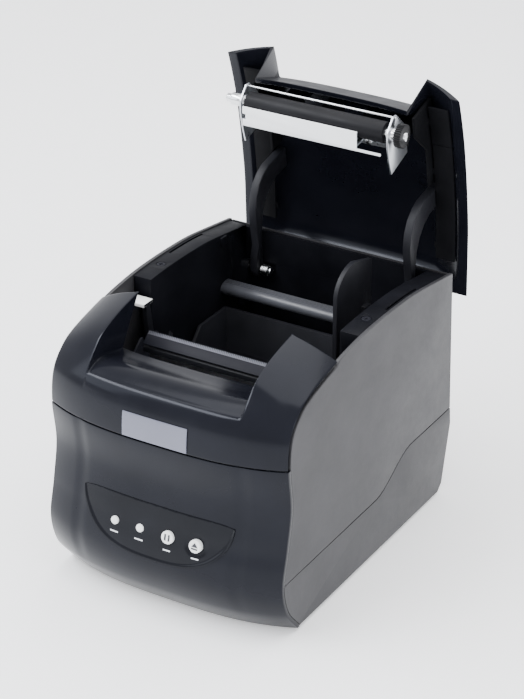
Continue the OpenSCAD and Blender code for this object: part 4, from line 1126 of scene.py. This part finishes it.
@dataclass
class Springs(Assembly):
    """The wound springs at the hinge, one each side."""

    wire: float = 0.00042
    turns: float = 7.0
    ring_most: float = 0.009

    def build(self) -> None:
        """Winds a spring in each stack of rings; the ring with the leg counts only for the length."""
        tree = NodeTree(Repeat.COIL)
        boxes = islands("hinge_springs")
        for side in Side:
            mine = [b for b in boxes if (b[0].x + b[1].x) * side.value > 0]
            rings = [b for b in mine if max(b[1] - b[0]) < self.ring_most]
            stacks = (mine, rings, rings)
            lo = Vector(min(b[0][k] for b in stack) for k, stack in enumerate(stacks))
            hi = Vector(max(b[1][k] for b in stack) for k, stack in enumerate(stacks))
            spring = new_object(f"hinge_spring_{side.name.lower()}", bpy.data.meshes.new("spring"))
            tree.run(spring, self.finishes["bright_steel"], Radius=(hi.z - lo.z) / 2 - self.wire,
                     Turns=self.turns, Length=hi.x - lo.x - 2 * self.wire, Wire=self.wire)
            centre = (lo + hi) / 2
            spring.data.transform(Matrix.Translation((lo.x + self.wire, centre.y, centre.z))
                                  @ Matrix.Rotation(math.radians(90), 4, "Y"))
            spring.data.shade_smooth()
            self.hand_over(spring, Body.LID, "bright_steel", "hinge_springs")


@dataclass
class Mouldings(Assembly):
    """Every other CAD part, with its edges rounded by the table's millimetres and its finish on."""

    table: tuple[tuple[Body, str, dict[str, float]], ...] = (
        (Body.ROOT, "side_grain", {"side_panel_left": 0.6, "side_panel_right": 0.6, "rear_panel": 0.0}),
        (Body.ROOT, "rail_black", {"top_frame": 0.4}),
        (Body.ROOT, "board_green", {"control_board": 0.1, "main_board": 0.2}),
        (Body.ROOT, "foot_rubber", {"rubber_feet": 0.5}),
        (Body.ROOT, "bright_steel", {"case_screws": 0.2, "gear_stud": 0.2, "head_shaft": 0.2,
                                     "usb_socket": 0.1}),
        (Body.ROOT, "bar_steel", {"deck_screws": 0.2, "mech_frame": 0.3}),
        (Body.ROOT, "inner_black", {"roll_bin": 0.4, "gap_sensor": 0.2, "connector_plate": 0.3,
                                    "dc_jack": 0.2, "switch_frame": 0.3}),
        (Body.ROOT, "beam_grey", {"ribbed_beam": 0.4}),
        (Body.ROOT, "sheet_steel", {"paper_plate": 0.2}),
        (Body.ROOT, "motor_can", {"stepper_motor": 0.3}),
        (Body.PINION, "brass", {"motor_pinion": 0.1}),
        (Body.IDLER, "gear_black", {"idler_gear": 0.1}),
        (Body.HEAD, "head_alu", {"heat_sink": 0.3}),
        (Body.HEAD, "ceramic", {"thermal_head": 0.1}),
        (Body.HEAD, "bright_steel", {"head_springs": 0.1}),
        (Body.LATCH, "inner_black", {"latch_hooks": 0.2}),
        (Body.LID, "bright_steel", {"lid_catches": 0.2, "hinge_pins": 0.3, "peel_rod": 0.2,
                                    "platen_bushings": 0.2, "lid_screws": 0.2}),
        (Body.GUIDE, "inner_black", {"paper_guide": 0.4}),
        (Body.ROOT, "ribbon", {"head_ribbon": 0.0}),
        (Body.ROCKER, "inner_black", {"power_rocker": 0.4}),
        (Body.LID, "liner_black", {"lid_liner": 0.4}),
        (Body.LID, "inner_black", {"lid_arms": 0.6}),
        (Body.LID, "sheet_steel", {"platen_bracket": 0.2}),
        (Body.PLATEN, "roller_rubber", {"platen_rubber": 0.4}),
        (Body.PLATEN, "bright_steel", {"platen_shaft": 0.3}),
        (Body.PLATEN, "gear_black", {"platen_gear": 0.1}))
    thumb_z: float = 134.4
    sheet_x: tuple[float, float] = (-39.5, 43.9)
    sheet_z: float = 108.6

    def build(self) -> None:
        """Makes a piece for each row of the table."""
        pieces = {node: self.softened_node(node, body, finish, width * MM)
                  for body, finish, nodes in self.table for node, width in nodes.items()}
        self.second_finish(pieces["latch_hooks"], "acetal", self.place.body,
                           lambda at, normal: at.z > self.thumb_z)
        left, right = self.sheet_x
        self.second_finish(pieces["platen_bracket"], "white_sheet", self.place.lid,
                           lambda at, normal: left < at.x < right and at.z < self.sheet_z)


# ---- studio -------------------------------------------------------------------


@dataclass
class Studio:
    """Floor, lights, sky and camera."""

    place: Place
    azimuth: float = 30.785
    elevation: float = 27.835
    distance: float = 1327.29
    across: float = 44.355
    up: float = 131.609
    lens: float = 124.29
    floor_size: float = 6.0

    def softbox(self, name: str, where: Vector, at: Vector, size: tuple[float, float], watts: float,
                colour: Colour) -> None:
        """An area light that faces a point.

        Args:
            name: The light's name.
            where: Its place in metres.
            at: The point that it faces.
            size: Width and height in metres.
            watts: Its power.
            colour: Its colour.
        """
        light = bpy.data.lights.new(name, "AREA")
        light.shape = "RECTANGLE"
        light.size, light.size_y = size
        light.energy = watts
        light.color = colour
        obj = bpy.data.objects.new(name, light)
        obj.location = where
        obj.rotation_euler = (at - where).to_track_quat("-Z", "Y").to_euler()
        bpy.context.scene.collection.objects.link(obj)

    def build(self) -> None:
        """Sets up the floor, the lights, the sky and the camera."""
        half = self.floor_size / 2
        mesh = bpy.data.meshes.new("floor")
        corners = [(-half, -half, 0), (half, -half, 0), (half, half, 0), (-half, half, 0)]
        mesh.from_pydata(corners, [], [(0, 1, 2, 3)])
        floor = new_object("floor", mesh)
        white = Finish("floor_white", (0.93, 0.93, 0.93), 0.8, tint=0.01, grain_strength=0.02).build()
        shader = next(node for node in white.node_tree.nodes if node.type == "BSDF_PRINCIPLED")
        shader.inputs["Emission Color"].default_value = (1, 1, 1, 1)
        shader.inputs["Emission Strength"].default_value = 0.4
        floor.data.materials.append(white)
        world = bpy.data.worlds.new("sky")
        world.use_nodes = True
        back = world.node_tree.nodes["Background"]
        back.inputs["Color"].default_value = (0.95, 0.96, 1.0, 1)
        back.inputs["Strength"].default_value = 1.45
        bpy.context.scene.world = world
        target = Vector((0, 0, 0.1))
        for name, where, size, watts, colour in (
                ("overhead", (0.1, 0.2, 1.5), (1.6, 1.4), 26, (1, 1, 1)),
                ("front_left", (-1.2, -1.0, 0.9), (0.9, 1.2), 9, (0.88, 0.93, 1.0)),
                ("brow_strip", (-0.66, -0.55, 1.2), (1.3, 0.36), 24, (0.94, 0.96, 1.0)),
                ("front_right", (1.5, -0.6, 0.7), (0.7, 1.1), 9, (0.88, 0.92, 1.0))):
            self.softbox(name, Vector(where), target, size, watts, colour)
        az, el = math.radians(self.azimuth), math.radians(self.elevation)
        back_axis = Vector((math.sin(az) * math.cos(el), -math.cos(az) * math.cos(el), math.sin(el)))
        right = Vector((math.cos(az), math.sin(az), 0))
        upward = Vector((-math.sin(az) * math.sin(el), math.cos(az) * math.sin(el), math.cos(el)))
        spot = back_axis * self.distance + right * self.across + upward * self.up
        turn = Matrix((right, upward, back_axis)).transposed().to_4x4()
        camera = bpy.data.cameras.new("camera")
        camera.lens = self.lens
        camera.sensor_width = 36
        camera.clip_start = 0.05
        obj = bpy.data.objects.new("camera", camera)
        obj.matrix_world = Matrix.Translation(self.place.body @ spot) @ turn
        bpy.context.scene.collection.objects.link(obj)
        bpy.context.scene.camera = obj


def main() -> None:
    """Builds the printer's looks and the studio."""
    logging.basicConfig(level=logging.INFO, format="%(name)s %(message)s")
    place, finishes = Place(Styling()), Finishes()
    for kind in (FrontCase, Controls, Hood, Lid, TearBar, Springs, Mouldings):
        kind(place, finishes).build()
    Studio(place).build()


if __name__ == "__main__":
    main()
